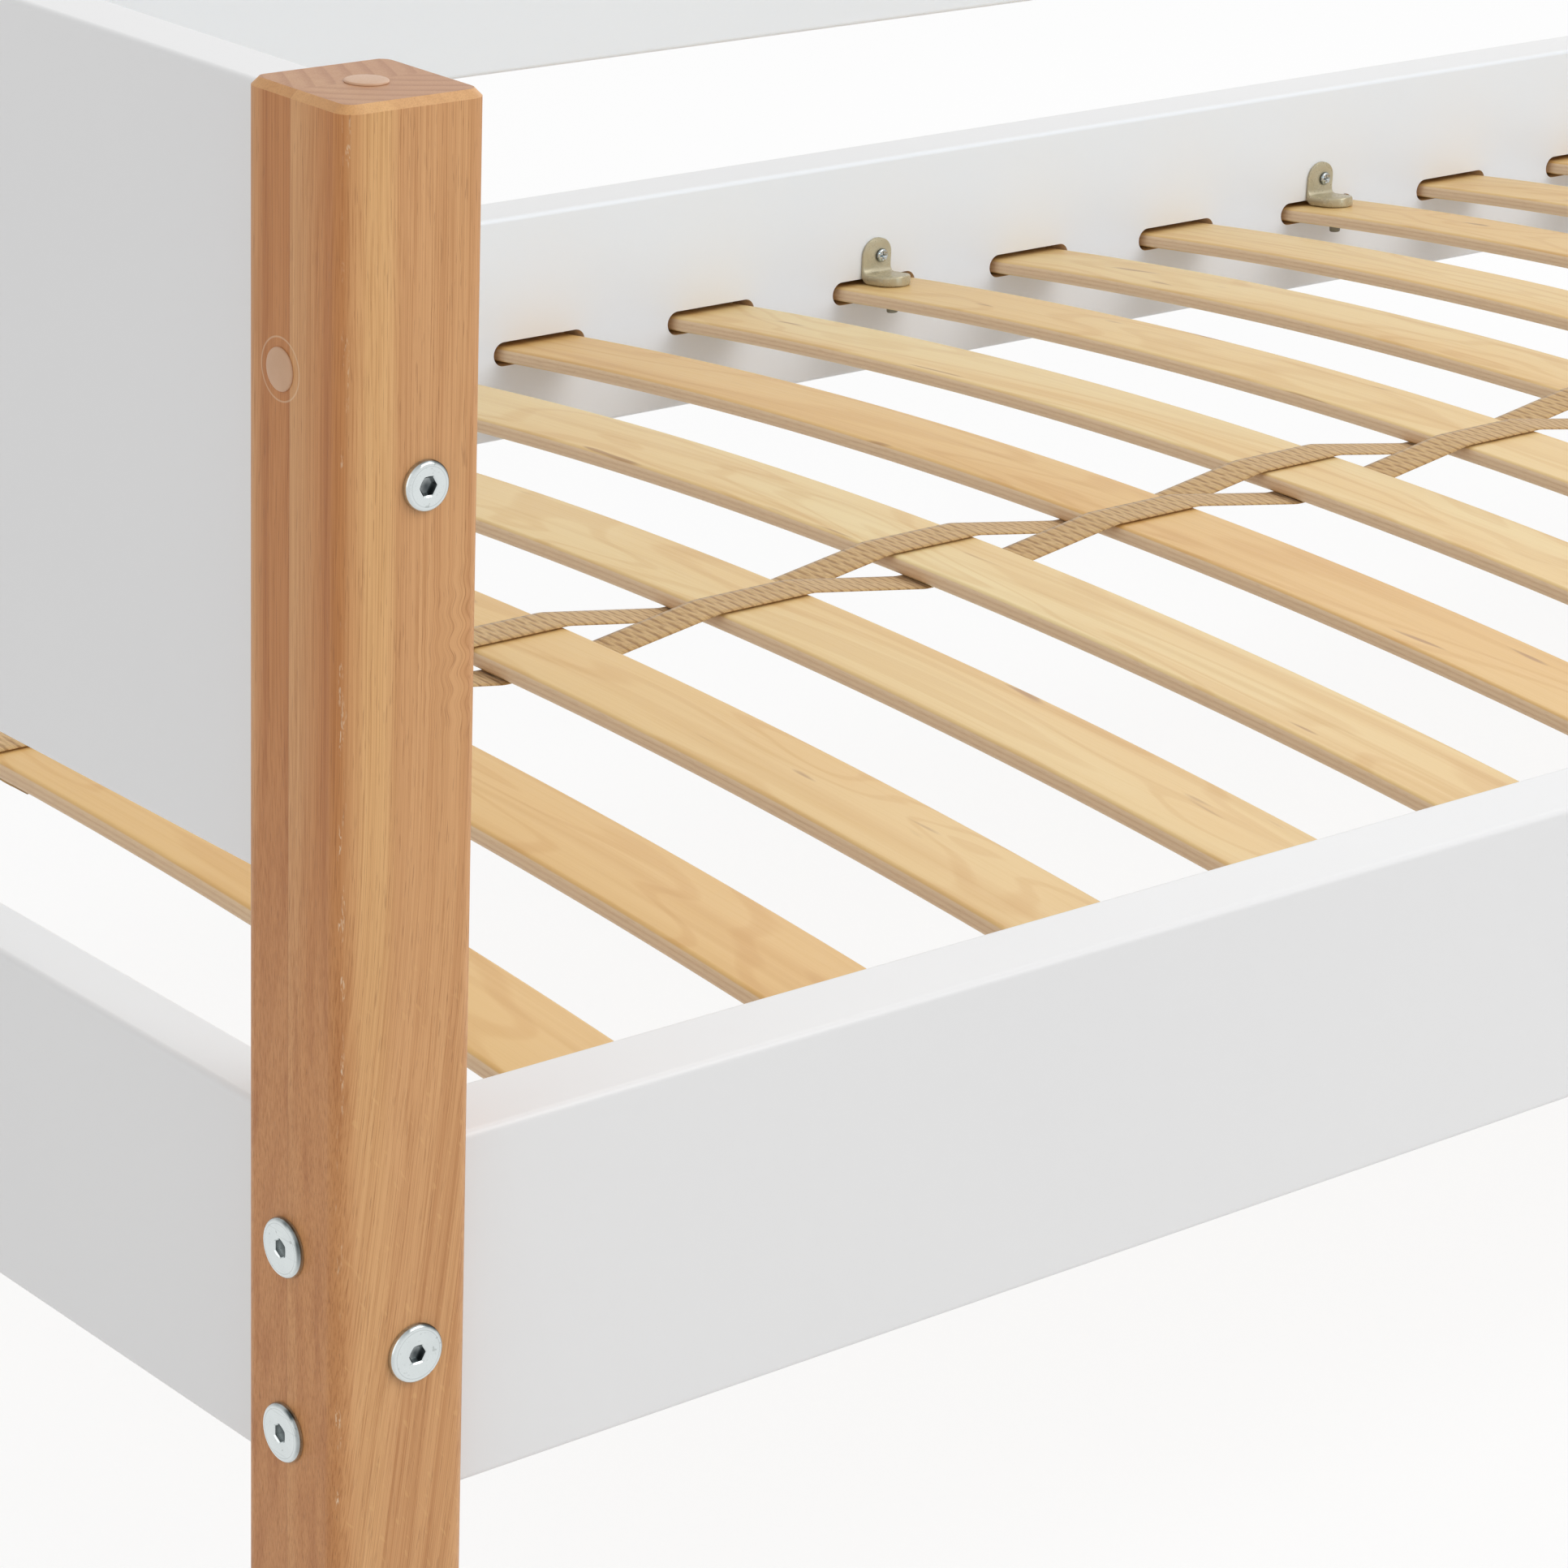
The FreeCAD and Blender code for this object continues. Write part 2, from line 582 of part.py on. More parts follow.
def add_tape(name, level_sign):
    """A woven tape as a ribbon of even thickness between its upper and lower edge."""
    half = value("sizes.tape_thickness") / 2
    upper, lower = tape_edge(level_sign, half), tape_edge(level_sign, -half)
    ends = []
    for number, parameter in ((0, "FirstParameter"), (-1, "LastParameter")):
        points = [edges[number].valueAt(getattr(edges[number], parameter)) for edges in (upper, lower)]
        ends.append(Part.LineSegment(*points).toShape())
    outline = Part.Wire(Part.__sortEdges__(upper + ends + lower))
    ribbon = Part.Face(outline).extrude(Y_AXIS * value("sizes.tape_width"))
    tape = doc.addObject("Part::Feature", name)
    tape.Label = name
    tape.Shape = ribbon
    y = -value("sizes.tape_offset") + level_sign * value("sizes.tape_spacing") / 2
    tape.Placement = FreeCAD.Placement(
        Y_AXIS * (y - value("sizes.tape_width") / 2), FreeCAD.Rotation()
    )
    return tape


# Fasteners, each made once with its seat at the origin

def add_round(body, name, diameter, length, offset=None, backwards=False):
    sketch = add_sketch(body, name, "XY_Plane", offset)
    draw_circles(sketch, [("0", "0")], diameter)
    return add_pad(body, sketch, length, backwards=backwards)


def make_bolt(name, head_diameter):
    """A connector bolt with a flat disc head; its shank runs down from the seat."""
    body = add_body(name)
    add_round(body, "shank_" + name, "sizes.bolt_diameter", f"(sizes.post_width + {BOLT_REACH})",
              backwards=True)
    head = add_round(body, "head_" + name, head_diameter, "sizes.bolt_head_height")
    bevel_rim(body, head, "sizes.bolt_head_bevel")
    socket = add_sketch(body, "socket_" + name, "XY_Plane", "sizes.bolt_head_height")
    corner = value("sizes.bolt_socket_width") / math.sqrt(3)
    points = []
    for number in range(6):
        turn_angle = math.radians(60 * number)
        points.append(FreeCAD.Vector(corner * math.cos(turn_angle), corner * math.sin(turn_angle), 0))
    lines = draw_chain(socket, points)
    centre = socket.addGeometry(Part.Circle(FreeCAD.Vector(), Z_AXIS, corner), True)
    bind(socket, "(sizes.bolt_socket_width / cos(30 deg))", "Diameter", centre)
    socket.addConstraint(Sketcher.Constraint("Coincident", centre, 3, -1, 1))
    for line in lines:
        socket.addConstraint(Sketcher.Constraint("PointOnObject", line, 1, centre))
    for line in lines[1:]:
        socket.addConstraint(Sketcher.Constraint("Equal", lines[0], line))
    socket.addConstraint(Sketcher.Constraint("PointOnObject", lines[0], 1, -1))
    add_pocket(body, socket, "sizes.bolt_socket_depth")
    return body


def make_nut():
    """A barrel nut along Y with its cross hole along X and a driver slot in its inner end."""
    body = add_body("barrel_nut")
    barrel = add_sketch(body, "nut_barrel", "XZ_Plane")
    draw_circles(barrel, [("0", "0")], "sizes.nut_diameter")
    add_pad(body, barrel, "sizes.nut_length", symmetric=True)
    cross = add_sketch(body, "nut_cross", "YZ_Plane")
    cross_bore = "(sizes.bolt_diameter + 2 * sizes.hole_clearance)"
    draw_circles(cross, [("0", "0")], cross_bore)
    add_pocket(body, cross)
    slot = add_sketch(body, "nut_slot", "XZ_Plane", "(-sizes.nut_length / 2)")
    length, width = value("sizes.nut_diameter") + value("sizes.cut_overrun"), value("sizes.nut_slot_width")
    corners = [(-length, -width), (length, -width), (length, width), (-length, width)]
    lines = draw_chain(slot, [FreeCAD.Vector(x / 2, z / 2, 0) for x, z in corners])
    for line in lines[0::2]:
        slot.addConstraint(Sketcher.Constraint("Horizontal", line))
    for line in lines[1::2]:
        slot.addConstraint(Sketcher.Constraint("Vertical", line))
    slot.addConstraint(Sketcher.Constraint("Symmetric", lines[0], 1, lines[2], 1, -1, 1))
    bind(slot, "(sizes.nut_diameter + sizes.cut_overrun)", "DistanceX", lines[0], 1, lines[0], 2)
    bind(slot, "sizes.nut_slot_width", "DistanceY", lines[1], 1, lines[1], 2)
    add_pocket(body, slot, "sizes.nut_slot_depth", forwards=True)
    return body


def make_dowel():
    """A wooden dowel along X with chamfered ends; the joint's seam is at the origin."""
    body = add_body("dowel")
    sketch = add_sketch(body, "dowel_round", "YZ_Plane", "(-sizes.dowel_in_board)")
    draw_circles(sketch, [("0", "0")], "sizes.dowel_diameter")
    pin = add_pad(body, sketch, DOWEL_LENGTH)
    rims = edges_where(pin, lambda edge: edge.Curve.TypeId == "Part::GeomCircle")
    dress(body, "Chamfer", pin, rims, "sizes.dowel_end_chamfer")
    return body


def make_plug():
    """A cover plug: a thin disc with a bevelled rim on a stem that fits the bolt's bore."""
    body = add_body("cover_plug")
    stem = f"({BOLT_BORE} - 2 * sizes.hole_clearance)"
    add_round(body, "plug_stem", stem, "sizes.plug_stem_length", backwards=True)
    cap = add_round(body, "plug_cap", "sizes.plug_diameter", "sizes.plug_height")
    bevel_rim(body, cap, "sizes.plug_edge_chamfer")
    return body


def make_glide():
    """A glide with a pin that is driven into the post; its floor side is bevelled."""
    body = add_body("foot_glide")
    add_round(body, "glide_pin", "sizes.glide_pin_diameter", "sizes.glide_pin_length", backwards=True)
    disc = add_round(body, "glide_disc", "sizes.glide_diameter", "sizes.glide_height")
    bevel_rim(body, disc, "sizes.glide_edge_chamfer")
    return body


def make_screw():
    """A pan-head screw with a pointed tip; its shank runs down from the seat."""
    body = add_body("rail_screw")
    shank = add_round(body, "screw_shank", "sizes.screw_diameter", "sizes.screw_length", backwards=True)
    bevel_rim(body, shank, "sizes.screw_point_share * sizes.screw_diameter", low=True)
    head = add_round(body, "screw_head", "sizes.screw_head_diameter", "sizes.screw_head_height")
    bevel_rim(body, head, "sizes.screw_head_bevel")
    return body


def make_peg():
    """A peg flush with the bracket that passes down through the slat."""
    body = add_body("slat_peg")
    length = (
        "(sizes.bracket_foot_thickness + sizes.bracket_seat_gap + sizes.slat_thickness"
        " + sizes.peg_protrusion)"
    )
    add_round(body, "peg_round", "sizes.peg_diameter", length, backwards=True)
    return body


def make_bracket():
    """An angle bracket for the back rail: a thin leg up the rail, a thick foot along the slat's slope."""
    body = add_body("slat_bracket")
    profile = add_sketch(body, "bracket_profile", "YZ_Plane")
    slope = math.radians(value(MOUTH_ANGLE))
    gauge, rise = value("sizes.bracket_thickness"), value("sizes.bracket_rise")
    foot = value("sizes.bracket_foot_thickness")
    along = FreeCAD.Vector(-math.cos(slope), math.sin(slope), 0) * value("sizes.bracket_reach")
    up = FreeCAD.Vector(math.sin(slope), math.cos(slope), 0) * foot
    bend = FreeCAD.Vector(-gauge, (foot + gauge * math.sin(slope)) / math.cos(slope), 0)
    points = [FreeCAD.Vector(), FreeCAD.Vector(0, rise, 0), FreeCAD.Vector(-gauge, rise, 0), bend,
              along + up, along]
    lines = draw_chain(profile, points)
    for kind, line in (("Vertical", 0), ("Horizontal", 1), ("Vertical", 2)):
        profile.addConstraint(Sketcher.Constraint(kind, lines[line]))
    profile.addConstraint(Sketcher.Constraint("Parallel", lines[3], lines[5]))
    profile.addConstraint(Sketcher.Constraint("Perpendicular", lines[4], lines[5]))
    profile.addConstraint(Sketcher.Constraint("Coincident", lines[0], 1, -1, 1))
    bind(profile, "sizes.bracket_rise", "DistanceY", lines[0], 1, lines[0], 2)
    bind(profile, "sizes.bracket_thickness", "DistanceX", lines[1], 2, lines[1], 1)
    bind(profile, "sizes.bracket_foot_thickness", "Distance", lines[4])
    reach_x = f"(sizes.bracket_reach * cos({MOUTH_ANGLE}))"
    reach_z = f"(sizes.bracket_reach * sin({MOUTH_ANGLE}))"
    bind(profile, reach_x, "DistanceX", lines[5], 1, lines[5], 2)
    bind(profile, reach_z, "DistanceY", lines[5], 2, lines[5], 1)
    strip = add_pad(body, profile, "sizes.bracket_width", symmetric=True)
    doc.recompute()
    near = MATCH_SHARE * value("sizes.bracket_width")
    corners = edges_where(strip, lambda edge: edge.BoundBox.XLength < near
                          and min(abs(edge.Length - gauge), abs(edge.Length - foot)) < near)
    rounded = dress(body, "Fillet", strip, corners, "sizes.bracket_round_share * sizes.bracket_width")
    inner = edges_where(rounded, lambda edge: edge.BoundBox.XLength > near
                        and edge.BoundBox.YMax < near and edge.BoundBox.YMin > -gauge - near
                        and abs(edge.BoundBox.ZMin - bend.y) < near)
    eased = dress(body, "Fillet", rounded, inner, "sizes.bracket_bend_radius")
    outer = edges_where(eased, lambda edge: edge.BoundBox.XLength > near
                        and abs(edge.BoundBox.ZMax) < near and abs(edge.BoundBox.YMax) < near)
    dress(body, "Fillet", eased, outer, "(sizes.bracket_bend_radius + sizes.bracket_thickness)")
    screw_hole = add_sketch(body, "bracket_screw_hole", "XZ_Plane")
    screw_bore = "(sizes.screw_diameter + 2 * sizes.hole_clearance)"
    screw_centre = ("sizes.bracket_screw_offset", "sizes.bracket_screw_height")
    draw_circles(screw_hole, [screw_centre], screw_bore)
    add_pocket(body, screw_hole)
    peg_hole = add_sketch(body, "bracket_peg_hole", "XY_Plane", tilt=f"-{MOUTH_ANGLE}")
    peg_bore = "(sizes.peg_diameter + 2 * sizes.hole_clearance)"
    draw_circles(peg_hole, [("0", "(-sizes.bracket_peg_inset)")], peg_bore)
    add_pocket(body, peg_hole)
    return body


# The bed

posts, boards = [], []
for side, side_name in ((-1, "front"), (1, "back")):
    for end, end_name in ((-1, "left"), (1, "right")):
        posts.append(add_post(f"post_{side_name}_{end_name}", end, side, side > 0))

RAIL_Y = f"({HALF_WIDTH} - {SIDE_RAIL_MIDDLE})"
PANEL_Y = f"({HALF_WIDTH} - {BACK_PANEL_MIDDLE})"
END_X = f"({HALF_LENGTH} - {END_BOARD_MIDDLE})"
for name, y, turn_angle in (("front_rail", f"(-{RAIL_Y})", 0), ("back_rail", RAIL_Y, 180)):
    boards.append(place(add_side_rail(name), "0", y, "sizes.rail_clearance", turn_angle))
panel = add_board("back_panel", SIDE_LENGTH, PANEL_HEIGHT, "sizes.back_panel_thickness",
                  BACK_PANEL_BOLTS, BACK_PANEL_DOWELS)
boards.append(place(panel, "0", PANEL_Y, PANEL_BOTTOM, 180))
for name, x, turn_angle in (("left", f"(-{END_X})", -90), ("right", END_X, 90)):
    rail = add_board(f"{name}_end_rail", END_LENGTH, "sizes.rail_height", "sizes.end_board_thickness",
                     END_RAIL_BOLTS, END_RAIL_DOWELS)
    boards.append(place(rail, x, "0", "sizes.rail_clearance", turn_angle))
    panel = add_board(f"{name}_end_panel", END_LENGTH, PANEL_HEIGHT, "sizes.end_board_thickness",
                      END_PANEL_BOLTS, END_PANEL_DOWELS)
    boards.append(place(panel, x, "0", PANEL_BOTTOM, turn_angle))

bracket_slats = [bracket_index(number) for number in range(BRACKET_COUNT)]
slats = [add_slat(index, index in bracket_slats) for index in range(SLAT_COUNT)]
tapes = [add_tape("slat_tape_rear", 1), add_tape("slat_tape_front", -1)]

rail_bolt = make_bolt("rail_bolt", "sizes.rail_bolt_head_diameter")
panel_bolt = make_bolt("panel_bolt", "sizes.panel_bolt_head_diameter")
nut, dowel = make_nut(), make_dowel()
plug, glide = make_plug(), make_glide()
screw, peg, bracket = make_screw(), make_peg(), make_bracket()


def side_joints(bolt, y, base, heights):
    """Bolts where a board along X meets the posts at y, and the places of their nuts."""
    bolts, nut_places = [], []
    for end in (-1, 1):
        for height in heights:
            z = f"({base} + {height})"
            bolts.append(add_copy(bolt, f"({end} * {HALF_LENGTH})", y, z, 90 * end, Y_AXIS))
            nut_places.append((f"({end} * ({SIDE_LENGTH} / 2 - sizes.nut_inset))", y, z))
    return bolts, nut_places


def end_joints(bolt, base, heights):
    """Bolts and nuts where the boards along Y meet the posts at both ends of the bed."""
    bolts, nuts = [], []
    for end, turn_angle in ((-1, -90), (1, 90)):
        x = f"({end} * {END_X})"
        for side in (-1, 1):
            for height in heights:
                z = f"({base} + {height})"
                bolts.append(add_copy(bolt, x, f"({side} * {HALF_WIDTH})", z, -90 * side, X_AXIS))
                y = f"({side} * ({END_LENGTH} / 2 - sizes.nut_inset))"
                nuts.append(add_copy(nut, x, y, z, turn_angle))
    return bolts, nuts


groups = []
front_bolts, front_places = side_joints(rail_bolt, f"(-{RAIL_Y})", "sizes.rail_clearance", RAIL_BOLTS)
back_bolts, back_places = side_joints(rail_bolt, RAIL_Y, "sizes.rail_clearance", RAIL_BOLTS)
panel_bolts, panel_places = side_joints(panel_bolt, PANEL_Y, PANEL_BOTTOM, BACK_PANEL_BOLTS)
groups.append(add_group("side_rail_bolts", front_bolts + back_bolts))
groups.append(add_group("side_rail_nuts", [add_copy(nut, *spot) for spot in front_places]
                        + [add_copy(nut, *spot, 180) for spot in back_places]))
groups.append(add_group("back_panel_bolts", panel_bolts))
groups.append(add_group("back_panel_nuts", [add_copy(nut, *spot, 180) for spot in panel_places]))
for name, bolt, base, heights in (
    ("end_rail", rail_bolt, "sizes.rail_clearance", END_RAIL_BOLTS),
    ("end_panel", panel_bolt, PANEL_BOTTOM, END_PANEL_BOLTS),
):
    end_bolts, end_nuts = end_joints(bolt, base, heights)
    groups.append(add_group(f"{name}_bolts", end_bolts))
    groups.append(add_group(f"{name}_nuts", end_nuts))

dowel_rows = (("end_rail_dowels", "sizes.rail_clearance", END_RAIL_DOWELS),
              ("end_panel_dowels", PANEL_BOTTOM, END_PANEL_DOWELS))
for name, base, heights in dowel_rows:
    copies = []
    for end in (-1, 1):
        for side in (-1, 1):
            for height in heights:
                y = f"({side} * {END_LENGTH} / 2)"
                copies.append(add_copy(dowel, f"({end} * {END_X})", y, f"({base} + {height})", 90 * side))
    groups.append(add_group(name, copies))
copies = []
for end in (-1, 1):
    for height in BACK_PANEL_DOWELS:
        x = f"({end} * {SIDE_LENGTH} / 2)"
        copies.append(add_copy(dowel, x, PANEL_Y, f"({PANEL_BOTTOM} + {height})", 90 - 90 * end))
groups.append(add_group("back_panel_dowels", copies))

top_plugs, side_plugs, glides = [], [], []
plug_z = f"({PANEL_BOTTOM} + {BACK_PANEL_BOLTS[0]})"
for end in (-1, 1):
    for side in (-1, 1):
        x = f"({end} * ({HALF_LENGTH} - {POST_HALF}))"
        y = f"({side} * ({HALF_WIDTH} - {POST_HALF}))"
        top_plugs.append(add_copy(plug, x, y, "sizes.post_height"))
        glides.append(add_copy(glide, x, y, "sizes.glide_height", 180, X_AXIS))
    for face, turn_angle in ((HALF_LENGTH, 90 * end), (f"({SIDE_LENGTH} / 2)", -90 * end)):
        side_plugs.append(add_copy(plug, f"({end} * {face})", f"(-{PANEL_Y})", plug_z, turn_angle, Y_AXIS))
groups.append(add_group("post_top_plugs", top_plugs))
groups.append(add_group("side_hole_plugs", side_plugs))
groups.append(add_group("foot_glides", glides))

screws, pegs = [], []
peg_radius = f"({SLAT_UPPER_RADIUS} + sizes.bracket_seat_gap + sizes.bracket_foot_thickness)"
for side, side_name, turn_angle in ((-1, "front", 180), (1, "back", 0)):
    copies = []
    for index in bracket_slats:
        x = slat_x(index)
        face = f"({side} * sizes.inner_width / 2)"
        copies.append(add_copy(bracket, x, face, BRACKET_FOOT, turn_angle))
        screw_y = f"({side} * (sizes.inner_width / 2 - sizes.bracket_thickness))"
        screw_z = f"({BRACKET_FOOT} + sizes.bracket_screw_height)"
        screw_x = f"({x} + {side} * sizes.bracket_screw_offset)"
        screws.append(add_copy(screw, screw_x, screw_y, screw_z, 90 * side, X_AXIS))
        peg_y = f"({side} * {peg_radius} * sin({PEG_ANGLE}))"
        peg_z = f"({SLAT_AXIS} + {peg_radius} * cos({PEG_ANGLE}))"
        pegs.append(add_copy(peg, x, peg_y, peg_z, -side * value(PEG_ANGLE), X_AXIS))
    groups.append(add_group(f"slat_brackets_{side_name}", copies))
groups.append(add_group("bracket_screws", screws))
groups.append(add_group("bracket_pegs", pegs))

doc.recompute()
for item in doc.Objects:
    if "Invalid" in item.State or "Error" in item.State:
        raise ValueError(f"{item.Label} failed: {item.State}")
pieces = posts + boards + slats + tapes + groups
for piece in pieces:
    if piece.Shape.isNull() or not piece.Shape.isValid():
        raise ValueError(f"{piece.Label} has no valid shape")
os.makedirs("parts", exist_ok=True)
for piece in pieces:
    piece.Shape.exportStep(f"parts/{piece.Label}.step")
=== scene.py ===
"""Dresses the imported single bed: oiled posts, white boards, birch slats, woven tapes and fittings."""

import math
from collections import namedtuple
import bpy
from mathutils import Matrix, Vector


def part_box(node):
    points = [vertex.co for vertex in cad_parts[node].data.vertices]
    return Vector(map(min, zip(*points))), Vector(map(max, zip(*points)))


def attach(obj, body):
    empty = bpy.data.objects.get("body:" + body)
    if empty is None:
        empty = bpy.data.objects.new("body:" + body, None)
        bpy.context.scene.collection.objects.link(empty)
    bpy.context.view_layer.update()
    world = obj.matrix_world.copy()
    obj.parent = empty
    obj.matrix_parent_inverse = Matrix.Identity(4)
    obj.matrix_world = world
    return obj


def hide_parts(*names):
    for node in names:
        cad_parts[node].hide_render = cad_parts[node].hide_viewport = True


bl_info = {
    "name": "Single Bed",
    "version": (1, 0, 0),
    "blender": (4, 5, 0),
    "location": "View3D > Sidebar > Bed",
    "description": "Single bed with wooden posts, white boards and a sprung base of bowed slats",
    "category": "Object",
}

import bmesh
import bpy
from bpy.props import FloatProperty, FloatVectorProperty, IntProperty, PointerProperty
from mathutils import Vector

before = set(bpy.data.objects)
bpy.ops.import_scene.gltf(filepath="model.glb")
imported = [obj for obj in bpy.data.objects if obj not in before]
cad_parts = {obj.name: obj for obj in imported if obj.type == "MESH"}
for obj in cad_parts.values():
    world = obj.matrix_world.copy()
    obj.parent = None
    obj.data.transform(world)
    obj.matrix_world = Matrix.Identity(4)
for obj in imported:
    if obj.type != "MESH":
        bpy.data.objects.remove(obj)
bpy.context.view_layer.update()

BODY = "root"
MM = 0.001

POSTS = [f"post_{side}_{end}" for side in ("front", "back") for end in ("left", "right")]
BOARDS = ["front_rail", "back_rail", "back_panel", "left_end_rail", "left_end_panel",
          "right_end_rail", "right_end_panel"]
SLATS = [f"slat_{number:02d}" for number in range(1, 16)]
BRACKET_SLATS = SLATS[1::3]
NUTS = ["side_rail_nuts", "back_panel_nuts", "end_rail_nuts", "end_panel_nuts"]
DOWELS = ["end_rail_dowels", "end_panel_dowels", "back_panel_dowels"]

# Heights of the bolts over the bottom edge of their board, as shares of its height
SIDE_RAIL_SHARES = (0.235, 0.757)
END_RAIL_SHARE = 0.485
END_PANEL_SHARE = 0.565
BACK_PANEL_SHARE = 0.693

# Marks in the wood of a post, from its middle or from the floor
GLUE_LINE = -1.5 * MM
CURL_HEIGHT = 0.505
LEAN_HEIGHT = 0.42
FLECK_SLOPE = 0.55
PLUG_RING = 9.7 * MM

# Slats in their slots; the tones say how far each veneer leans to the warmer colour
SLOT_DEPTH = 19 * MM
SLOT_HALF_HEIGHT = 7.8 * MM
SLAT_REACH = 17 * MM
VENEER_STEP = 0.73
SLAT_TONES = (0.80, 0.85, 0.50, 0.25, 0.00, 0.80, 0.00, 0.35, 0.15, 0.35, 0.50, 0.25, 0.70, 0.15, 0.40)

# Steps along a tape for each rib of its weave
ROWS_PER_RIB = 11

# Brackets: play under the foot, the screw's place on the leg and the peg's on the foot
FOOT_PLAY = 0.3 * MM
SCREW_ASIDE = 2.5 * MM
SCREW_RISE = 15.7 * MM
PEG_REACH = 15 * MM

# The lamps' size in metres, and the camera in metres, degrees and shares of the picture
LAMP_SIZE = 3.0
CAMERA_PLACE = (-1.85966, -1.65615, 0.99592)
CAMERA_TURN = (69.5916, -2.1332, -39.8561)
CAMERA_SHIFT = (-0.00507, 0.00854)


def middle(node, axis):
    """Middle of a CAD node's box along one axis."""
    low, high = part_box(node)
    return (low[axis] + high[axis]) / 2


def share_height(node, share):
    """Height of a share of a CAD node's box."""
    low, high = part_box(node)
    return low.z + share * (high.z - low.z)


# Turns that point a fitting's Z to the left, the right, the front or the back
TO_LEFT, TO_RIGHT = (0.0, -math.pi / 2, 0.0), (0.0, math.pi / 2, 0.0)
TO_FRONT, TO_BACK = (math.pi / 2, 0.0, 0.0), (-math.pi / 2, 0.0, 0.0)
END_TURNS = {-1: TO_LEFT, 1: TO_RIGHT}
SIDE_TURNS = {-1: TO_FRONT, 1: TO_BACK}

# Faces and middle planes on the right and back sides of the frame
POST_OUT_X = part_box("post_front_right")[1].x
POST_IN_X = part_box("post_front_right")[0].x
POST_OUT_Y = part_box("post_back_right")[1].y
RAIL_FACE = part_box("back_rail")[0].y
RAIL_Y = middle("back_rail", 1)
PANEL_Y = middle("back_panel", 1)
END_X = middle("right_end_rail", 0)


# Settings

def length(label, text, default):
    return FloatProperty(name=label, description=text, default=default, min=0.0, unit="LENGTH",
                         precision=5)


def colour(label, text, default):
    return FloatVectorProperty(name=label, description=text, default=default, size=3, min=0.0, max=1.0,
                               subtype="COLOR")


class BedFinishes(bpy.types.PropertyGroup):
    """Colours of the bed's finishes."""

    post_face: colour("Post face", "Wood on the faces that look across the bed", (0.69, 0.372, 0.165))
    post_side: colour("Post side", "Redder wood by the outer arris and the glue line", (0.565, 0.240, 0.078))
    post_sap: colour("Post sapwood", "Paler wood beside the outer arris", (0.76, 0.445, 0.19))
    post_pore: colour("Post pores", "Dark pores and fine lines of the posts", (0.27, 0.11, 0.035))
    post_wear: colour("Post wear", "Bare wood where the arris is rubbed", (0.86, 0.70, 0.50))
    post_end: colour("Post end", "Pinkish end grain at the top of the posts", (0.44, 0.225, 0.12))
    board: colour("Boards", "White lacquer of the boards", (0.83, 0.83, 0.83))
    # Raw board colour, made paler than raw board to paint in light that the slots' shade takes away
    slot: colour("Slots", "Raw board inside the routed slots", (0.86, 0.64, 0.40))
    slat_pale: colour("Slat, pale", "Pale birch of the slats", (0.80, 0.62, 0.315))
    slat_warm: colour("Slat, warm", "Warmer birch of the slats", (0.725, 0.445, 0.157))
    slat_edge: colour("Slat edge", "Inner plies at the edges of the slats", (0.78, 0.575, 0.37))
    slat_streak: colour("Slat streak", "Rare mineral streaks in the birch", (0.36, 0.17, 0.07))
    tape: colour("Tapes", "Tan yarn of the tapes", (0.62, 0.41, 0.185))
    zinc: colour("Zinc", "Bright plate of bolts and screws", (0.70, 0.745, 0.745))
    bracket: colour("Brackets", "Beige-grey plate of the brackets", (0.49, 0.43, 0.29))
    plug: colour("Plugs", "Beige plastic of the cover plugs", (0.60, 0.36, 0.215))
    glide: colour("Glides", "Pale plastic of the glides", (0.70, 0.70, 0.68))
    dowel: colour("Dowels", "Raw wood of the dowels", (0.60, 0.41, 0.22))


class BedSizes(bpy.types.PropertyGroup):
    """Sizes of the pieces that stand for CAD nodes."""

    bow_radius: length("Bow radius", "Radius of the slats' bow at their middle layer", 3.85)
    slat_thickness: length("Slat thickness", "Thickness of a slat", 8 * MM)
    slat_edge: length("Slat edge", "Radius of a slat's long edges", 3 * MM)
    slat_rows: IntProperty(name="Slat rows", description="Steps along the bow of a slat", default=49, min=3)
    ply: length("Ply", "Thickness of one layer of a slat", 1.15 * MM)
    tape_thickness: length("Tape thickness", "Thickness of a tape over its ribs", 1.4 * MM)
    rib_pitch: length("Rib pitch", "Distance from rib to rib along a tape", 5.8 * MM)
    rib_height: length("Rib height", "Height of a tape's ribs", 0.5 * MM)
    rail_bolt_head: length("Rail bolt head", "Diameter of the heads of the rails' bolts", 20 * MM)
    panel_bolt_head: length("Panel bolt head", "Diameter of the heads of the panels' bolts", 16 * MM)
    bolt_rise: length("Bolt rise", "Height of a bolt's head", 2.4 * MM)
    bolt_bevel: length("Bolt bevel", "Size of the rounded rim of a bolt's head", 1.5 * MM)
    socket: length("Socket", "Width of a bolt's hexagon socket", 5.5 * MM)
    screw_head: length("Screw head", "Diameter of a screw's head", 8 * MM)
    bracket_width: length("Bracket width", "Width of a bracket", 21 * MM)
    bracket_gauge: length("Bracket gauge", "Thickness of a bracket's upright leg", 2 * MM)
    bracket_foot: length("Bracket foot", "Thickness of a bracket's foot on the slat", 5.5 * MM)
    bracket_bend: length("Bracket bend", "Inner radius of a bracket's bend", 4 * MM)
    bracket_leg: length("Bracket leg", "Length of each leg of a bracket", 26 * MM)
    plug_width: length("Plug width", "Diameter of a cover plug", 13.5 * MM)
    glide_width: length("Glide width", "Diameter of a glide", 30 * MM)


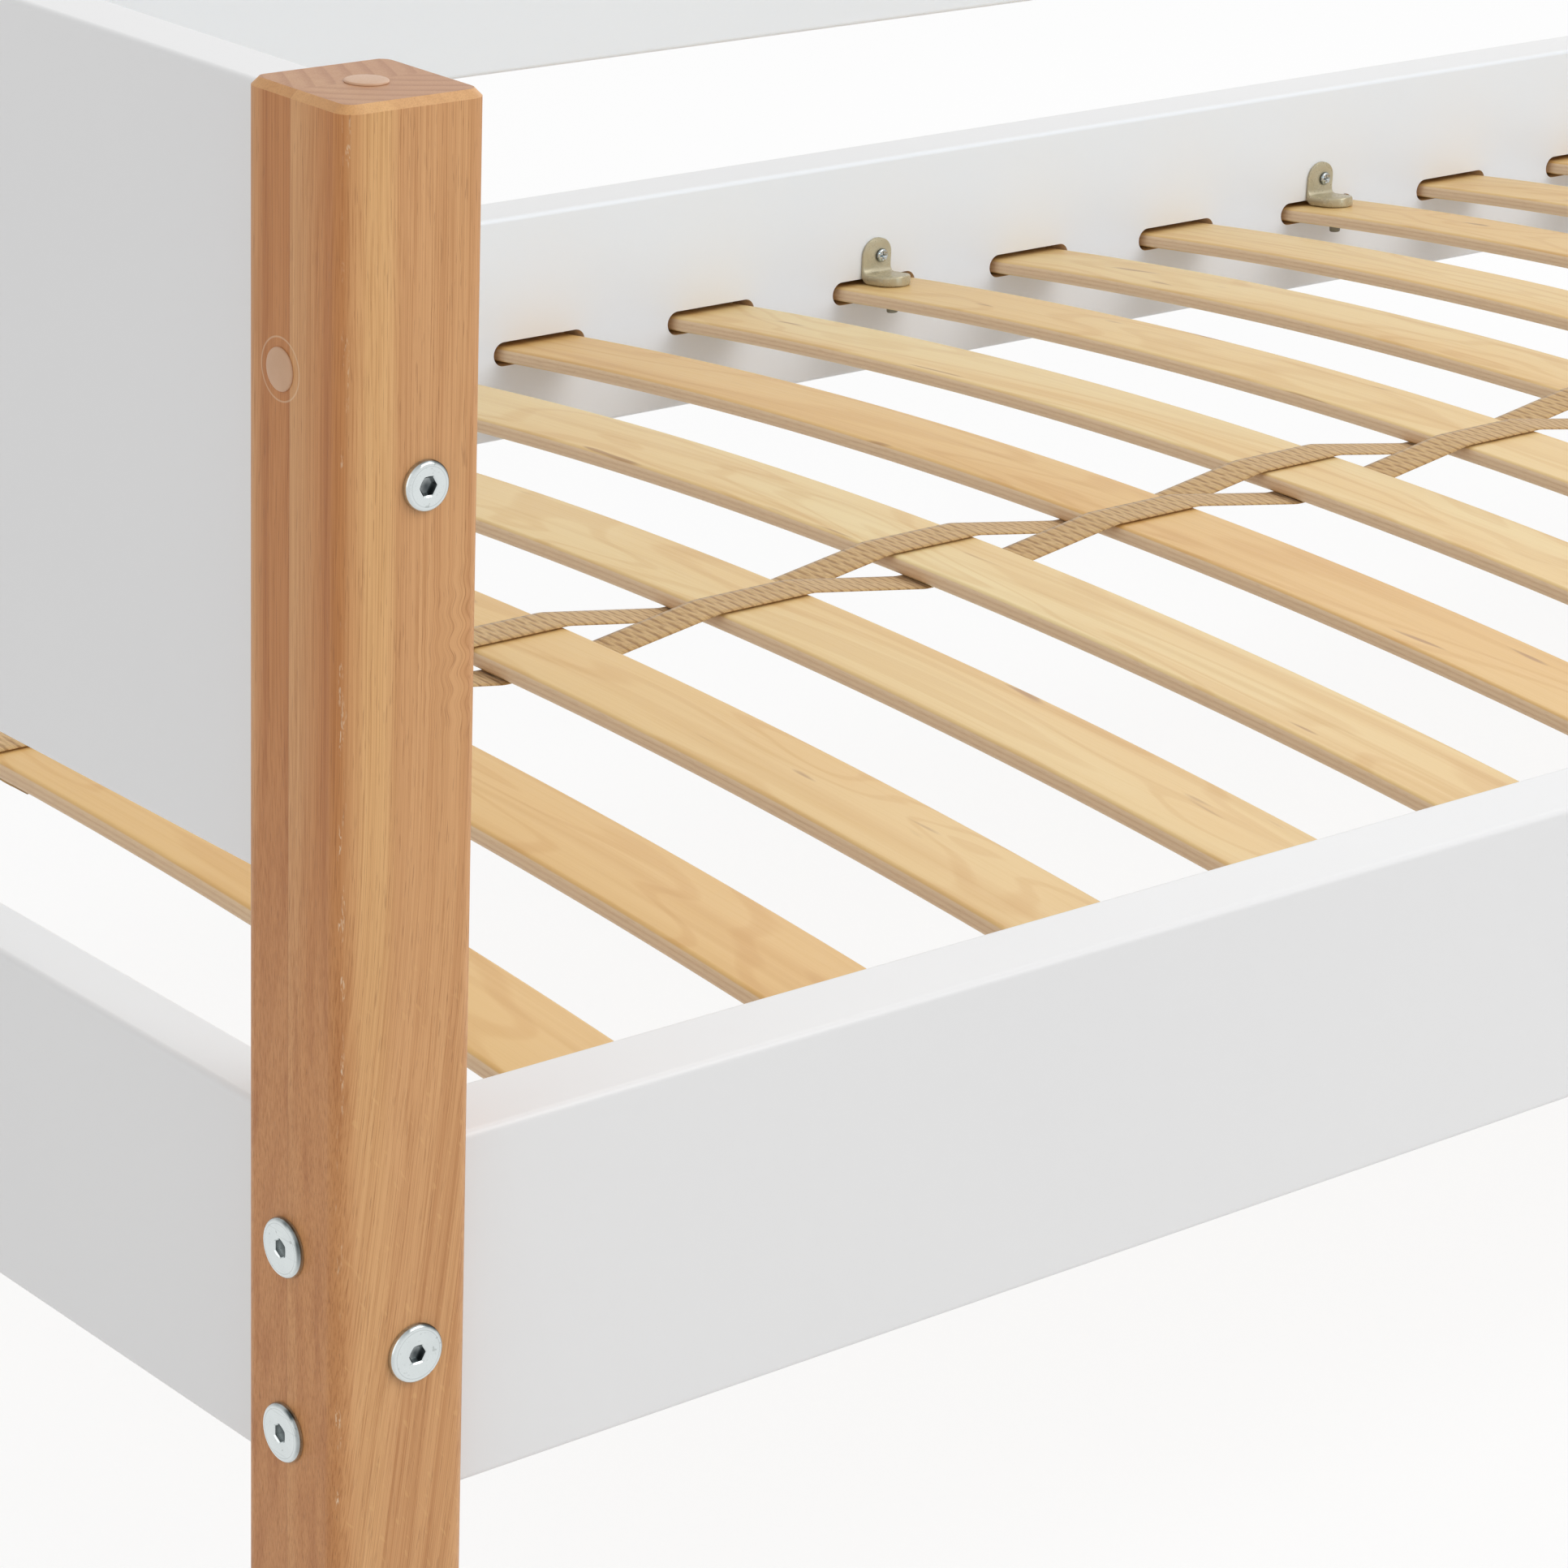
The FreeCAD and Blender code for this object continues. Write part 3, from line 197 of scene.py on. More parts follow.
class BedStage(bpy.types.PropertyGroup):
    """Floor, light and camera."""

    ambient: FloatProperty(name="Ambient", description="Strength of the even light from all sides",
                           default=0.60, min=0.0)
    key: FloatProperty(name="Key", description="Power of the lamp over the front", default=78.0, min=0.0,
                       unit="POWER")
    fill: FloatProperty(name="Fill", description="Power of the lamp beside the end", default=15.0, min=0.0,
                        unit="POWER")
    top: FloatProperty(name="Top", description="Power of the lamp over the far end", default=25.0, min=0.0,
                       unit="POWER")
    back: FloatProperty(name="Back", description="Power of the cool beam on the inside of the back boards",
                        default=0.45, min=0.0, unit="POWER")
    lens: FloatProperty(name="Lens", description="Focal length of the camera", default=116.02, min=1.0,
                        unit="CAMERA")


# Node helpers

class Wire:
    """A node's output. Sums of wires and numbers add math nodes to the wire's tree."""

    def __init__(self, tree, socket):
        self.tree, self.socket = tree, socket

    def to(self, entry):
        """Links the wire to a node's input."""
        self.tree.links.new(self.socket, entry)

    def __add__(self, other):
        return calc(self.tree, "ADD", self, other)

    def __sub__(self, other):
        return calc(self.tree, "SUBTRACT", self, other)

    def __rsub__(self, other):
        return calc(self.tree, "SUBTRACT", other, self)

    def __mul__(self, other):
        return calc(self.tree, "MULTIPLY", self, other)

    def __truediv__(self, other):
        return calc(self.tree, "DIVIDE", self, other)

    def __rtruediv__(self, other):
        return calc(self.tree, "DIVIDE", other, self)

    def __abs__(self):
        return calc(self.tree, "ABSOLUTE", self)


def add_node(tree, kind, inputs=None, **settings):
    """Adds a node, sets its options, and feeds its inputs with wires or values."""
    node = tree.nodes.new(kind)
    for key, setting in settings.items():
        setattr(node, key, setting)
    for key, source in (inputs or {}).items():
        if isinstance(source, Wire):
            source.to(node.inputs[key])
        else:
            node.inputs[key].default_value = source
    return node


def wire(tree, kind, inputs=None, output=0, **settings):
    """Adds a node and gives one of its outputs."""
    return Wire(tree, add_node(tree, kind, inputs, **settings).outputs[output])


def named_wires(tree, node):
    return {socket.name: Wire(tree, socket) for socket in node.outputs}


def calc(tree, operation, *values):
    return wire(tree, "ShaderNodeMath", dict(enumerate(values)), operation=operation)


def vector_calc(tree, operation, *values):
    return wire(tree, "ShaderNodeVectorMath", dict(enumerate(values)), operation=operation)


def span(tree, source, low, high, to_low=0.0, to_high=1.0):
    """A soft step from to_low to to_high as the source goes from low to high."""
    values = {0: source, 1: low, 2: high, 3: to_low, 4: to_high}
    return wire(tree, "ShaderNodeMapRange", values, interpolation_type="SMOOTHSTEP")


def mix(tree, share, first, second):
    """Mixes two values by a share."""
    return wire(tree, "ShaderNodeMix", {0: share, 2: first, 3: second})


def blend(tree, share, first, second, kind="MIX"):
    """Mixes two colours by a share."""
    first, second = (value if isinstance(value, Wire) else (*value[:3], 1.0) for value in (first, second))
    values = {0: share, 6: first, 7: second}
    return wire(tree, "ShaderNodeMix", values, output=2, data_type="RGBA", blend_type=kind)


def darken(tree, color, share, tone):
    """Multiplies a colour by a tone where the share is full."""
    return blend(tree, share, color, blend(tree, 1.0, color, tone, "MULTIPLY"))


def split(tree, vector):
    node = add_node(tree, "ShaderNodeSeparateXYZ", {0: vector})
    return [Wire(tree, socket) for socket in node.outputs]


def join(tree, x, y, z):
    return wire(tree, "ShaderNodeCombineXYZ", {0: x, 1: y, 2: z})


def noise(tree, vector, scale=1.0, detail=2.0, rough=0.5, distort=0.0):
    values = {"Vector": vector, "Scale": scale, "Detail": detail, "Roughness": rough,
              "Distortion": distort}
    return wire(tree, "ShaderNodeTexNoise", values)


def stretched(tree, vector, across, along):
    """Scales a place by its parts across and along the grain."""
    return vector_calc(tree, "MULTIPLY", vector, join(tree, across, across, along))


def new_group(name, inputs, outputs):
    """An empty shader node group and its two ends."""
    group = bpy.data.node_groups.new(name, "ShaderNodeTree")
    for label, kind in inputs:
        group.interface.new_socket(label, in_out="INPUT", socket_type=f"NodeSocket{kind}")
    for label in outputs:
        group.interface.new_socket(label, in_out="OUTPUT", socket_type="NodeSocketFloat")
    start = named_wires(group, group.nodes.new("NodeGroupInput"))
    return group, start, group.nodes.new("NodeGroupOutput").inputs


def use_group(tree, group, **inputs):
    values = {key.replace("_", " "): value for key, value in inputs.items()}
    return named_wires(tree, add_node(tree, "ShaderNodeGroup", values, node_tree=group))


def wood_lines():
    """Lines of a sawn wood whose grain runs along Z: fibres, streaks, rings and pores."""
    found = bpy.data.node_groups.get("wood_lines")
    if found:
        return found
    inputs = (("Place", "Vector"), ("Pith", "Vector"), ("Fibre Width", "Float"),
              ("Streak Width", "Float"), ("Ring Width", "Float"), ("Wander", "Float"))
    group, start, end = new_group("wood_lines", inputs, ("Fibre", "Streak", "Ring", "Pore"))
    slow = noise(group, stretched(group, start["Place"], 14.0, 5.0), detail=1.0)
    drift = (slow - 0.5) * start["Wander"]
    place = vector_calc(group, "ADD", start["Place"], join(group, drift, drift, 0.0))
    fine = stretched(group, place, 1.0 / start["Fibre Width"], 9.0)
    noise(group, fine, detail=3.0, rough=0.6).to(end["Fibre"])
    broad = stretched(group, place, 1.0 / start["Streak Width"], 1.6)
    noise(group, broad, detail=2.0).to(end["Streak"])
    x, y, _ = split(group, vector_calc(group, "SUBTRACT", place, start["Pith"]))
    turns = calc(group, "FRACT", calc(group, "SQRT", x * x + y * y) / start["Ring Width"])
    (span(group, turns, 0.35, 0.92) * span(group, turns, 1.0, 0.92)).to(end["Ring"])
    dashes = noise(group, stretched(group, place, 2100.0, 95.0), detail=1.0)
    span(group, dashes, 0.63, 0.72).to(end["Pore"])
    return group


def fine_finish():
    """Slight unevenness of a smooth finish: broad clouds, fine pebbling and hair scratches."""
    found = bpy.data.node_groups.get("fine_finish")
    if found:
        return found
    inputs = (("Place", "Vector"), ("Cloud Scale", "Float"), ("Pebble Scale", "Float"),
              ("Scratch Scale", "Float"))
    group, start, end = new_group("fine_finish", inputs, ("Cloud", "Pebble", "Scratch"))
    noise(group, start["Place"], start["Cloud Scale"], 3.0).to(end["Cloud"])
    noise(group, start["Place"], start["Pebble Scale"], 2.0).to(end["Pebble"])
    turned = wire(group, "ShaderNodeMapping",
                  {"Vector": start["Place"], "Rotation": (0.5, 0.7, 0.9), "Scale": (1.0, 0.03, 1.0)})
    lines = noise(group, turned, start["Scratch Scale"], 1.0)
    span(group, lines, 0.66, 0.72).to(end["Scratch"])
    return group


def new_material(name):
    """A material with its tree, its shader and the Object place on the piece."""
    material = bpy.data.materials.new(name)
    material.use_nodes = True
    tree = material.node_tree
    shader = next(node for node in tree.nodes if node.type == "BSDF_PRINCIPLED")
    return material, tree, shader, wire(tree, "ShaderNodeTexCoord", output="Object")


def attribute(tree, name, output="Fac"):
    return wire(tree, "ShaderNodeAttribute", output=output, attribute_name=name)


def feed(tree, shader, color, rough=None, height=None, strength=0.2, distance=0.2 * MM):
    """Feeds a shader's colour, roughness and bump."""
    color.to(shader.inputs["Base Color"])
    if rough is not None:
        rough.to(shader.inputs["Roughness"])
    if height is not None:
        bump = wire(tree, "ShaderNodeBump", {"Strength": strength, "Distance": distance, "Height": height})
        bump.to(shader.inputs["Normal"])


# Finishes

def post_wood(finishes):
    """Oiled wood glued from two staves, with end grain at the top and a rubbed outer arris."""
    material, tree, shader, place = new_material("post_wood")
    x, y, z = split(tree, place)
    out_x = abs(x) - abs(middle(POSTS[0], 0))
    out_y = abs(y) - abs(middle(POSTS[0], 1))
    facing = split(tree, wire(tree, "ShaderNodeNewGeometry", output="Normal"))
    face_x, face_y = abs(facing[0]), abs(facing[1])
    sideways = span(tree, face_x, 0.50, 0.85)
    rear = span(tree, out_y, GLUE_LINE + 0.15 * MM, GLUE_LINE - 0.15 * MM)

    # The grain leans in the lower half and curls in one spot
    above = z - CURL_HEIGHT
    up, over = above / (22 * MM), (out_x + 17.5 * MM) / (9 * MM)
    curl = calc(tree, "SINE", above * 620.0) * calc(tree, "EXPONENT", (up * up + over * over) * -1.0)
    lean = calc(tree, "SMOOTH_MIN", z - LEAN_HEIGHT, 0.0, 0.1) * 0.13
    apart = join(tree, curl * (1.1 * MM) - lean + rear * 0.31, 0.0, rear * 0.47)
    lines = use_group(tree, wood_lines(), Place=vector_calc(tree, "ADD", place, apart),
                      Pith=(-0.93, -0.36, 0.0), Fibre_Width=0.42 * MM, Streak_Width=4.5 * MM,
                      Ring_Width=6.5 * MM, Wander=5 * MM)

    # Sapwood beside the outer arris of the broad faces, redder wood on the sides
    wandering = out_x + (noise(tree, place, 5.0, 1.0) - 0.5) * (14 * MM)
    sap = span(tree, wandering, 3 * MM, 11 * MM) * span(tree, wandering, 24 * MM, 15 * MM)
    sap = sap * span(tree, z, 0.30, 0.46, 0.25, 0.9)
    face = blend(tree, sap, finishes.post_face, finishes.post_sap)
    face = blend(tree, span(tree, out_x, 17 * MM, 25 * MM, 0.0, 0.55), face, finishes.post_side)
    red = mix(tree, rear, span(tree, out_y, 0.0, 19 * MM), span(tree, out_y, -23 * MM, -13 * MM))
    red = calc(tree, "MINIMUM", red + span(tree, z, 0.50, 0.36, 0.0, 0.45),
               span(tree, z, 0.36, 0.50, 0.70, 1.0))
    side = blend(tree, red, finishes.post_face, finishes.post_side)
    color = blend(tree, sideways, face, side)
    color = darken(tree, color, rear * sideways, (0.97, 0.97, 1.0))

    color = darken(tree, color, span(tree, lines["Streak"], 0.45, 0.72, 0.0, 0.75), (0.84, 0.76, 0.69))
    color = darken(tree, color, lines["Ring"] * 0.35, (0.85, 0.77, 0.70))
    color = darken(tree, color, span(tree, lines["Fibre"], 0.40, 0.72), (0.77, 0.69, 0.61))
    color = blend(tree, lines["Pore"] * 0.35, color, finishes.post_pore)
    slant = join(tree, x + z * FLECK_SLOPE, y, z - x * FLECK_SLOPE)
    flecks = span(tree, noise(tree, stretched(tree, slant, 480.0, 150.0), detail=0.0), 0.70, 0.80)
    flecks = flecks * span(tree, z, 0.46, 0.36, 0.0, 0.3) * span(tree, face_y, 0.7, 0.95)
    color = blend(tree, flecks, color, finishes.post_sap)
    seam = span(tree, abs(out_y - GLUE_LINE), 0.35 * MM, 0.1 * MM, 0.0, 0.45)
    color = darken(tree, color, seam, (0.72, 0.64, 0.60))

    end_grain = span(tree, facing[2], 0.8, 0.98)
    bevel = span(tree, facing[2], 0.3, 0.6) - end_grain
    color = blend(tree, bevel * 0.4, color, finishes.post_sap)
    color = blend(tree, end_grain * 0.75, color, finishes.post_end)
    color = darken(tree, color, end_grain * lines["Ring"], (0.86, 0.79, 0.73))

    # A faint ring pressed into the wood round the side plugs
    beside, higher = y + PANEL_Y, z - share_height("back_panel", BACK_PANEL_SHARE)
    far = calc(tree, "SQRT", beside * beside + higher * higher)
    ring = span(tree, abs(far - PLUG_RING), 0.4 * MM, 0.1 * MM)
    color = blend(tree, ring * 0.3, color, finishes.post_wear)

    arris = span(tree, calc(tree, "MINIMUM", face_x, face_y), 0.50, 0.66)
    outer = span(tree, out_x, 0.0, 5 * MM) * span(tree, out_y, 0.0, 5 * MM)
    rubbed = span(tree, noise(tree, stretched(tree, place, 500.0, 60.0), detail=2.0), 0.54, 0.68)
    broken = span(tree, noise(tree, stretched(tree, place, 2000.0, 500.0), detail=1.0), 0.48, 0.60)
    wear = arris * outer * (rubbed * broken)
    color = blend(tree, wear * 0.65, color, finishes.post_wear)
    shader.inputs["Specular IOR Level"].default_value = 0.35
    feed(tree, shader, color, span(tree, lines["Fibre"], 0.2, 0.8, 0.38, 0.50),
         lines["Fibre"] * 0.5 - lines["Pore"], 0.2)
    return material


def white_lacquer(finishes):
    """Satin white lacquer; the routed slots of the side rails are raw inside."""
    material, tree, shader, place = new_material("white_lacquer")
    fine = use_group(tree, fine_finish(), Place=place, Cloud_Scale=2.2, Pebble_Scale=420.0,
                     Scratch_Scale=160.0)
    color = darken(tree, finishes.board, span(tree, fine["Cloud"], 0.3, 0.8), (0.975, 0.975, 0.98))
    _, y, z = split(tree, place)
    deep = span(tree, abs(y), RAIL_FACE + 0.02 * MM, RAIL_FACE + 0.25 * MM)
    inside = calc(tree, "LESS_THAN", abs(y), RAIL_FACE + SLOT_DEPTH + 1 * MM)
    slot_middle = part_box(SLATS[0])[0].z + 6.4 * MM
    raw = deep * (inside * calc(tree, "COMPARE", z, slot_middle, SLOT_HALF_HEIGHT))
    # Raw board in the slots, painted paler than raw board to stand in for light their shade takes away
    fuzz = darken(tree, finishes.slot, noise(tree, place, 900.0, 2.0), (0.70, 0.66, 0.60))
    color = blend(tree, raw, color, fuzz)
    rough = span(tree, fine["Cloud"], 0.3, 0.7, 0.30, 0.38) + raw * 0.4
    feed(tree, shader, color, rough, fine["Pebble"], 0.06, 0.1 * MM)
    return material


def birch(finishes, sizes):
    """Lacquered birch veneer on laminated plies that show along the rounded edges."""
    material, tree, shader, _ = new_material("slat_birch")
    across, depth, _ = split(tree, attribute(tree, "section", "Vector"))
    along, tone, shift = (attribute(tree, name) for name in ("along", "tone", "shift"))
    spot = join(tree, across + shift, depth, along + shift)
    lines = use_group(tree, wood_lines(), Place=spot, Pith=(0.0, -0.4, 0.0), Fibre_Width=0.9 * MM,
                      Streak_Width=9 * MM, Ring_Width=30 * MM, Wander=8 * MM)
    figure = noise(tree, stretched(tree, spot, 17.0, 3.0), detail=2.0, distort=0.5)
    contour = calc(tree, "SINE", figure * 62.0)
    color = blend(tree, tone, finishes.slat_pale, finishes.slat_warm)
    color = blend(tree, span(tree, figure, 0.35, 0.68, 0.0, 0.5), color, finishes.slat_warm)
    color = darken(tree, color, span(tree, contour, 0.35, 1.0, 0.0, 0.6), (0.90, 0.81, 0.69))
    color = darken(tree, color, span(tree, lines["Streak"], 0.46, 0.76, 0.0, 0.8), (0.90, 0.82, 0.71))
    color = darken(tree, color, span(tree, lines["Fibre"], 0.45, 0.8, 0.0, 0.5), (0.93, 0.89, 0.84))
    rare = noise(tree, stretched(tree, spot, 120.0, 14.0), detail=1.0)
    color = blend(tree, span(tree, rare, 0.74, 0.80, 0.0, 0.7), color, finishes.slat_streak)

    # Plies of two tones, rough end fibres and broken glue lines on the edges
    layer = depth / sizes.ply
    ply = calc(tree, "PINGPONG", layer, 1.0)
    grain = noise(tree, join(tree, depth * 2600.0, shift, along * 160.0), detail=3.0, rough=0.65)
    edge = darken(tree, finishes.slat_edge, span(tree, ply, 0.25, 0.75, 0.0, 0.6), (0.90, 0.84, 0.79))
    edge = darken(tree, edge, span(tree, grain, 0.45, 0.75, 0.0, 0.6), (0.82, 0.75, 0.69))
    gaps = noise(tree, join(tree, calc(tree, "FLOOR", layer), shift, along * 26.0))
    glue = span(tree, ply, 0.86, 1.0) * span(tree, gaps, 0.45, 0.62)
    edge = darken(tree, edge, glue * 0.5, (0.62, 0.51, 0.44))
    veneer = sizes.slat_thickness / 2
    core = span(tree, abs(depth), veneer - 0.6 * sizes.ply, veneer - 1.1 * sizes.ply)
    color = blend(tree, core, color, edge)
    rough = span(tree, lines["Fibre"], 0.2, 0.8, 0.34, 0.44) + core * 0.15
    feed(tree, shader, color, rough, lines["Fibre"] * 0.3 + core * (grain * 0.7), 0.12)
    return material


def webbing(finishes):
    """Ribbed tan tape, with painted shade in the grooves between the ribs."""
    material, tree, shader, _ = new_material("tape_webbing")
    across, depth, _ = split(tree, attribute(tree, "section", "Vector"))
    spot = join(tree, across, depth, attribute(tree, "along"))
    yarn = noise(tree, stretched(tree, spot, 240.0, 1900.0), detail=2.0)
    cloud = noise(tree, spot, 40.0, 2.0)
    # Painted shade in the grooves between the ribs
    color = darken(tree, finishes.tape, span(tree, attribute(tree, "rib"), 0.85, 0.0), (0.62, 0.53, 0.43))
    color = darken(tree, color, span(tree, yarn, 0.42, 0.68), (0.76, 0.70, 0.62))
    color = darken(tree, color, span(tree, cloud, 0.4, 0.7, 0.0, 0.5), (0.92, 0.89, 0.85))
    shader.inputs["Roughness"].default_value = 0.86
    shader.inputs["Sheen Weight"].default_value = 0.25
    shader.inputs["Sheen Roughness"].default_value = 0.45
    feed(tree, shader, color, None, yarn, 0.5, 0.15 * MM)
    return material


def plated(name, base, metallic, low, high, cloudy, pits):
    """Plated steel with clouded gloss, hair scratches, pits, painted shade in hollows and a patchy painted
    dark reflection on head edges.
    """
    material, tree, shader, place = new_material(name)
    fine = use_group(tree, fine_finish(), Place=place, Cloud_Scale=130.0, Pebble_Scale=900.0,
                     Scratch_Scale=900.0)
    patches = span(tree, noise(tree, place, 140.0, 1.0), 0.35, 0.55, 0.6, 1.0)
    color = darken(tree, base, span(tree, fine["Cloud"], 0.35, 0.75, 0.0, cloudy), (0.88, 0.89, 0.90))
    color = darken(tree, color, fine["Scratch"] * (0.8 * pits), (0.75, 0.75, 0.75))
    spots = span(tree, noise(tree, place, 520.0, 1.0), 0.70, 0.76, 0.0, pits)
    color = darken(tree, color, spots, (0.45, 0.45, 0.43))
    # Painted dark reflection on one side of the outer edge of bolt heads, broken into patches
    color = darken(tree, color, attribute(tree, "rim") * patches, (0.07, 0.08, 0.08))
    # Painted shade in hex sockets and creases, where heads sit on their parts, in screw crosses and on peg
    # tips under the slats
    color = darken(tree, color, attribute(tree, "recess"), (0.10, 0.11, 0.115))
    shader.inputs["Metallic"].default_value = metallic
    feed(tree, shader, color, span(tree, fine["Cloud"], 0.3, 0.7, low, high), fine["Pebble"], 0.02, 0.1 * MM)
    return material


def plastic(name, base, low, high):
    """Moulded plastic with a fine even grain."""
    material, tree, shader, place = new_material(name)
    fine = use_group(tree, fine_finish(), Place=place, Cloud_Scale=90.0, Pebble_Scale=1500.0,
                     Scratch_Scale=700.0)
    color = darken(tree, base, span(tree, fine["Cloud"], 0.35, 0.7, 0.0, 0.8), (0.93, 0.92, 0.90))
    color = darken(tree, color, fine["Scratch"] * 0.3, (0.85, 0.85, 0.85))
    feed(tree, shader, color, span(tree, fine["Pebble"], 0.3, 0.7, low, high), fine["Pebble"], 0.08, 0.1 * MM)
    return material


def raw_wood(finishes):
    """Turned, unfinished wood of the dowels."""
    material, tree, shader, place = new_material("dowel_wood")
    lines = use_group(tree, wood_lines(), Place=place, Pith=(0.4, 0.0, 0.0), Fibre_Width=0.6 * MM,
                      Streak_Width=3 * MM, Ring_Width=2.5 * MM, Wander=2 * MM)
    color = darken(tree, finishes.dowel, span(tree, lines["Fibre"], 0.4, 0.75), (0.82, 0.76, 0.70))
    color = darken(tree, color, lines["Pore"] * 0.6, (0.60, 0.50, 0.42))
    feed(tree, shader, color, span(tree, lines["Fibre"], 0.2, 0.8, 0.6, 0.75), lines["Fibre"], 0.3)
    return material


def paint(nodes, material):
    """Gives CAD nodes a finish on their own slots."""
    for name in nodes:
        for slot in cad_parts[name].material_slots:
            slot.material = material


# Mesh helpers

def link_piece(name, mesh):
    piece = bpy.data.objects.new(name, mesh)
    bpy.context.scene.collection.objects.link(piece)
    return piece


def settle(piece, slot, *nodes):
    """Lets a finished piece ride on the bed and stand for its CAD nodes; the slot it is given is not used."""
    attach(piece, BODY)
    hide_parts(*nodes)


def new_tree(name, inputs):
    """A geometry tree with named inputs; gives the tree, its inputs' wires and their identifiers."""
    tree = bpy.data.node_groups.new(name, "GeometryNodeTree")
    tree.interface.new_socket("Geometry", in_out="INPUT", socket_type="NodeSocketGeometry")
    tree.interface.new_socket("Geometry", in_out="OUTPUT", socket_type="NodeSocketGeometry")
    ids = {}
    for label, kind in inputs:
        item = tree.interface.new_socket(label, in_out="INPUT", socket_type=f"NodeSocket{kind}")
        ids[label] = item.identifier
    return tree, named_wires(tree, tree.nodes.new("NodeGroupInput")), ids


def end_tree(tree, geometry, material):
    """Closes a geometry tree with realized instances and a material."""
    real = wire(tree, "GeometryNodeRealizeInstances", {"Geometry": geometry})
    done = wire(tree, "GeometryNodeSetMaterial", {"Geometry": real, "Material": material})
    done.to(tree.nodes.new("NodeGroupOutput").inputs[0])


def store(tree, geometry, name, kind, value):
    return wire(tree, "GeometryNodeStoreNamedAttribute",
                {"Geometry": geometry, "Name": name, "Value": value}, data_type=kind, domain="POINT")


def read(tree, name, kind):
    return wire(tree, "GeometryNodeInputNamedAttribute", {"Name": name}, data_type=kind)


def grow(piece, tree, ids, values):
    """Runs a geometry tree on a piece and keeps its result as the piece's plain mesh."""
    modifier = piece.modifiers.new(tree.name, "NODES")
    modifier.node_group = tree
    for label, value in values.items():
        modifier[ids[label]] = value
    graph = bpy.context.evaluated_depsgraph_get()
    mesh = bpy.data.meshes.new_from_object(piece.evaluated_get(graph), preserve_all_data_layers=True,
                                           depsgraph=graph)
    if not mesh.polygons:
        raise RuntimeError(f"{piece.name} came out empty")
    piece.modifiers.clear()
    piece.data = mesh
    mesh.name = piece.name
    return piece


Ring = namedtuple("Ring", "radius height hexagon recess rim", defaults=(0.0, 0.0, 0.0))


def turned_mesh(name, rings, steps, shade_turn=0.0):
    """A closed shape turned about Z from rings that may be hexagons and may carry painted shade and a painted
    dark reflection.
    """
    shape = bmesh.new()
    recess_layer = shape.verts.layers.float.new("recess")
    rim_layer = shape.verts.layers.float.new("rim")
    loops = []
    for ring in rings:
        loop = []
        for step in range(1 if ring.radius == 0 else steps):
            turn = math.tau * step / steps
            off_flat = turn % (math.pi / 3) - math.pi / 6
            reach = ring.radius * (1 + ring.hexagon * (1 / math.cos(off_flat) - 1))
            vertex = shape.verts.new((reach * math.cos(turn), reach * math.sin(turn), ring.height))
            # Painted shade; in a hexagon socket it is lighter on one side, as a painted lit wall
            vertex[recess_layer] = ring.recess * (1 - 0.6 * ring.hexagon * (1 + math.cos(turn - 2.2)) / 2)
            # Painted dark reflection, strongest towards shade_turn and faint elsewhere
            vertex[rim_layer] = ring.rim * (0.15 + 0.85 * max(math.cos(turn - shade_turn), 0.0))
            loop.append(vertex)
        loops.append(loop)
    for inner, outer in zip(loops, loops[1:]):
        for step in range(steps):
            after = (step + 1) % steps
            corners = [inner[step % len(inner)], inner[after % len(inner)],
                       outer[after % len(outer)], outer[step % len(outer)]]
            shape.faces.new(list(dict.fromkeys(corners)))
    return close_shape(shape, name)


def close_shape(shape, name):
    """Turns a closed shape's faces outwards and makes it a smooth mesh with sharp corners."""
    bmesh.ops.recalc_face_normals(shape, faces=shape.faces)
    mesh = bpy.data.meshes.new(name)
    shape.to_mesh(mesh)
    shape.free()
    mesh.shade_smooth()
    mesh.set_sharp_from_angle(angle=math.radians(32))
    return mesh


def rounded(start, end, steps):
    """Rings on a quarter ellipse from one (radius, height) to the next, leaving along the height."""
    points = []
    for step in range(steps + 1):
        turn = math.pi / 2 * step / steps
        points.append(Ring(end[0] + (start[0] - end[0]) * math.cos(turn),
                           start[1] + (end[1] - start[1]) * math.sin(turn)))
    return points


def set_out(name, template, places, material):
    """Copies of a template at places of (point, turn), as one piece."""
    tree, start, ids = new_tree(f"set_out_{name}", (("Shape", "Object"), ("Finish", "Material")))
    shape = wire(tree, "GeometryNodeObjectInfo", {"Object": start["Shape"]}, output="Geometry")
    copies = wire(tree, "GeometryNodeInstanceOnPoints",
                  {"Points": start["Geometry"], "Instance": shape,
                   "Rotation": read(tree, "turn", "FLOAT_VECTOR")})
    end_tree(tree, copies, start["Finish"])
    mesh = bpy.data.meshes.new(name)
    mesh.from_pydata([point for point, _ in places], [], [])
    turns = mesh.attributes.new("turn", "FLOAT_VECTOR", "POINT")
    for item, (_, angles) in zip(turns.data, places):
        item.vector = angles
    pattern = link_piece(f"{name}_pattern", template)
    piece = grow(link_piece(name, mesh), tree, ids, {"Shape": pattern, "Finish": material})
    bpy.data.objects.remove(pattern)
    return piece


# Operators

class BED_OT_posts(bpy.types.Operator):
    """Finish the four posts"""

    bl_idname = "bed.posts"
    bl_label = "Posts"

    def execute(self, context):
        paint(POSTS, post_wood(context.scene.bed_finishes))
        return {"FINISHED"}


class BED_OT_boards(bpy.types.Operator):
    """Finish the rails and panels"""

    bl_idname = "bed.boards"
    bl_label = "Boards"

    def execute(self, context):
        paint(BOARDS, white_lacquer(context.scene.bed_finishes))
        return {"FINISHED"}


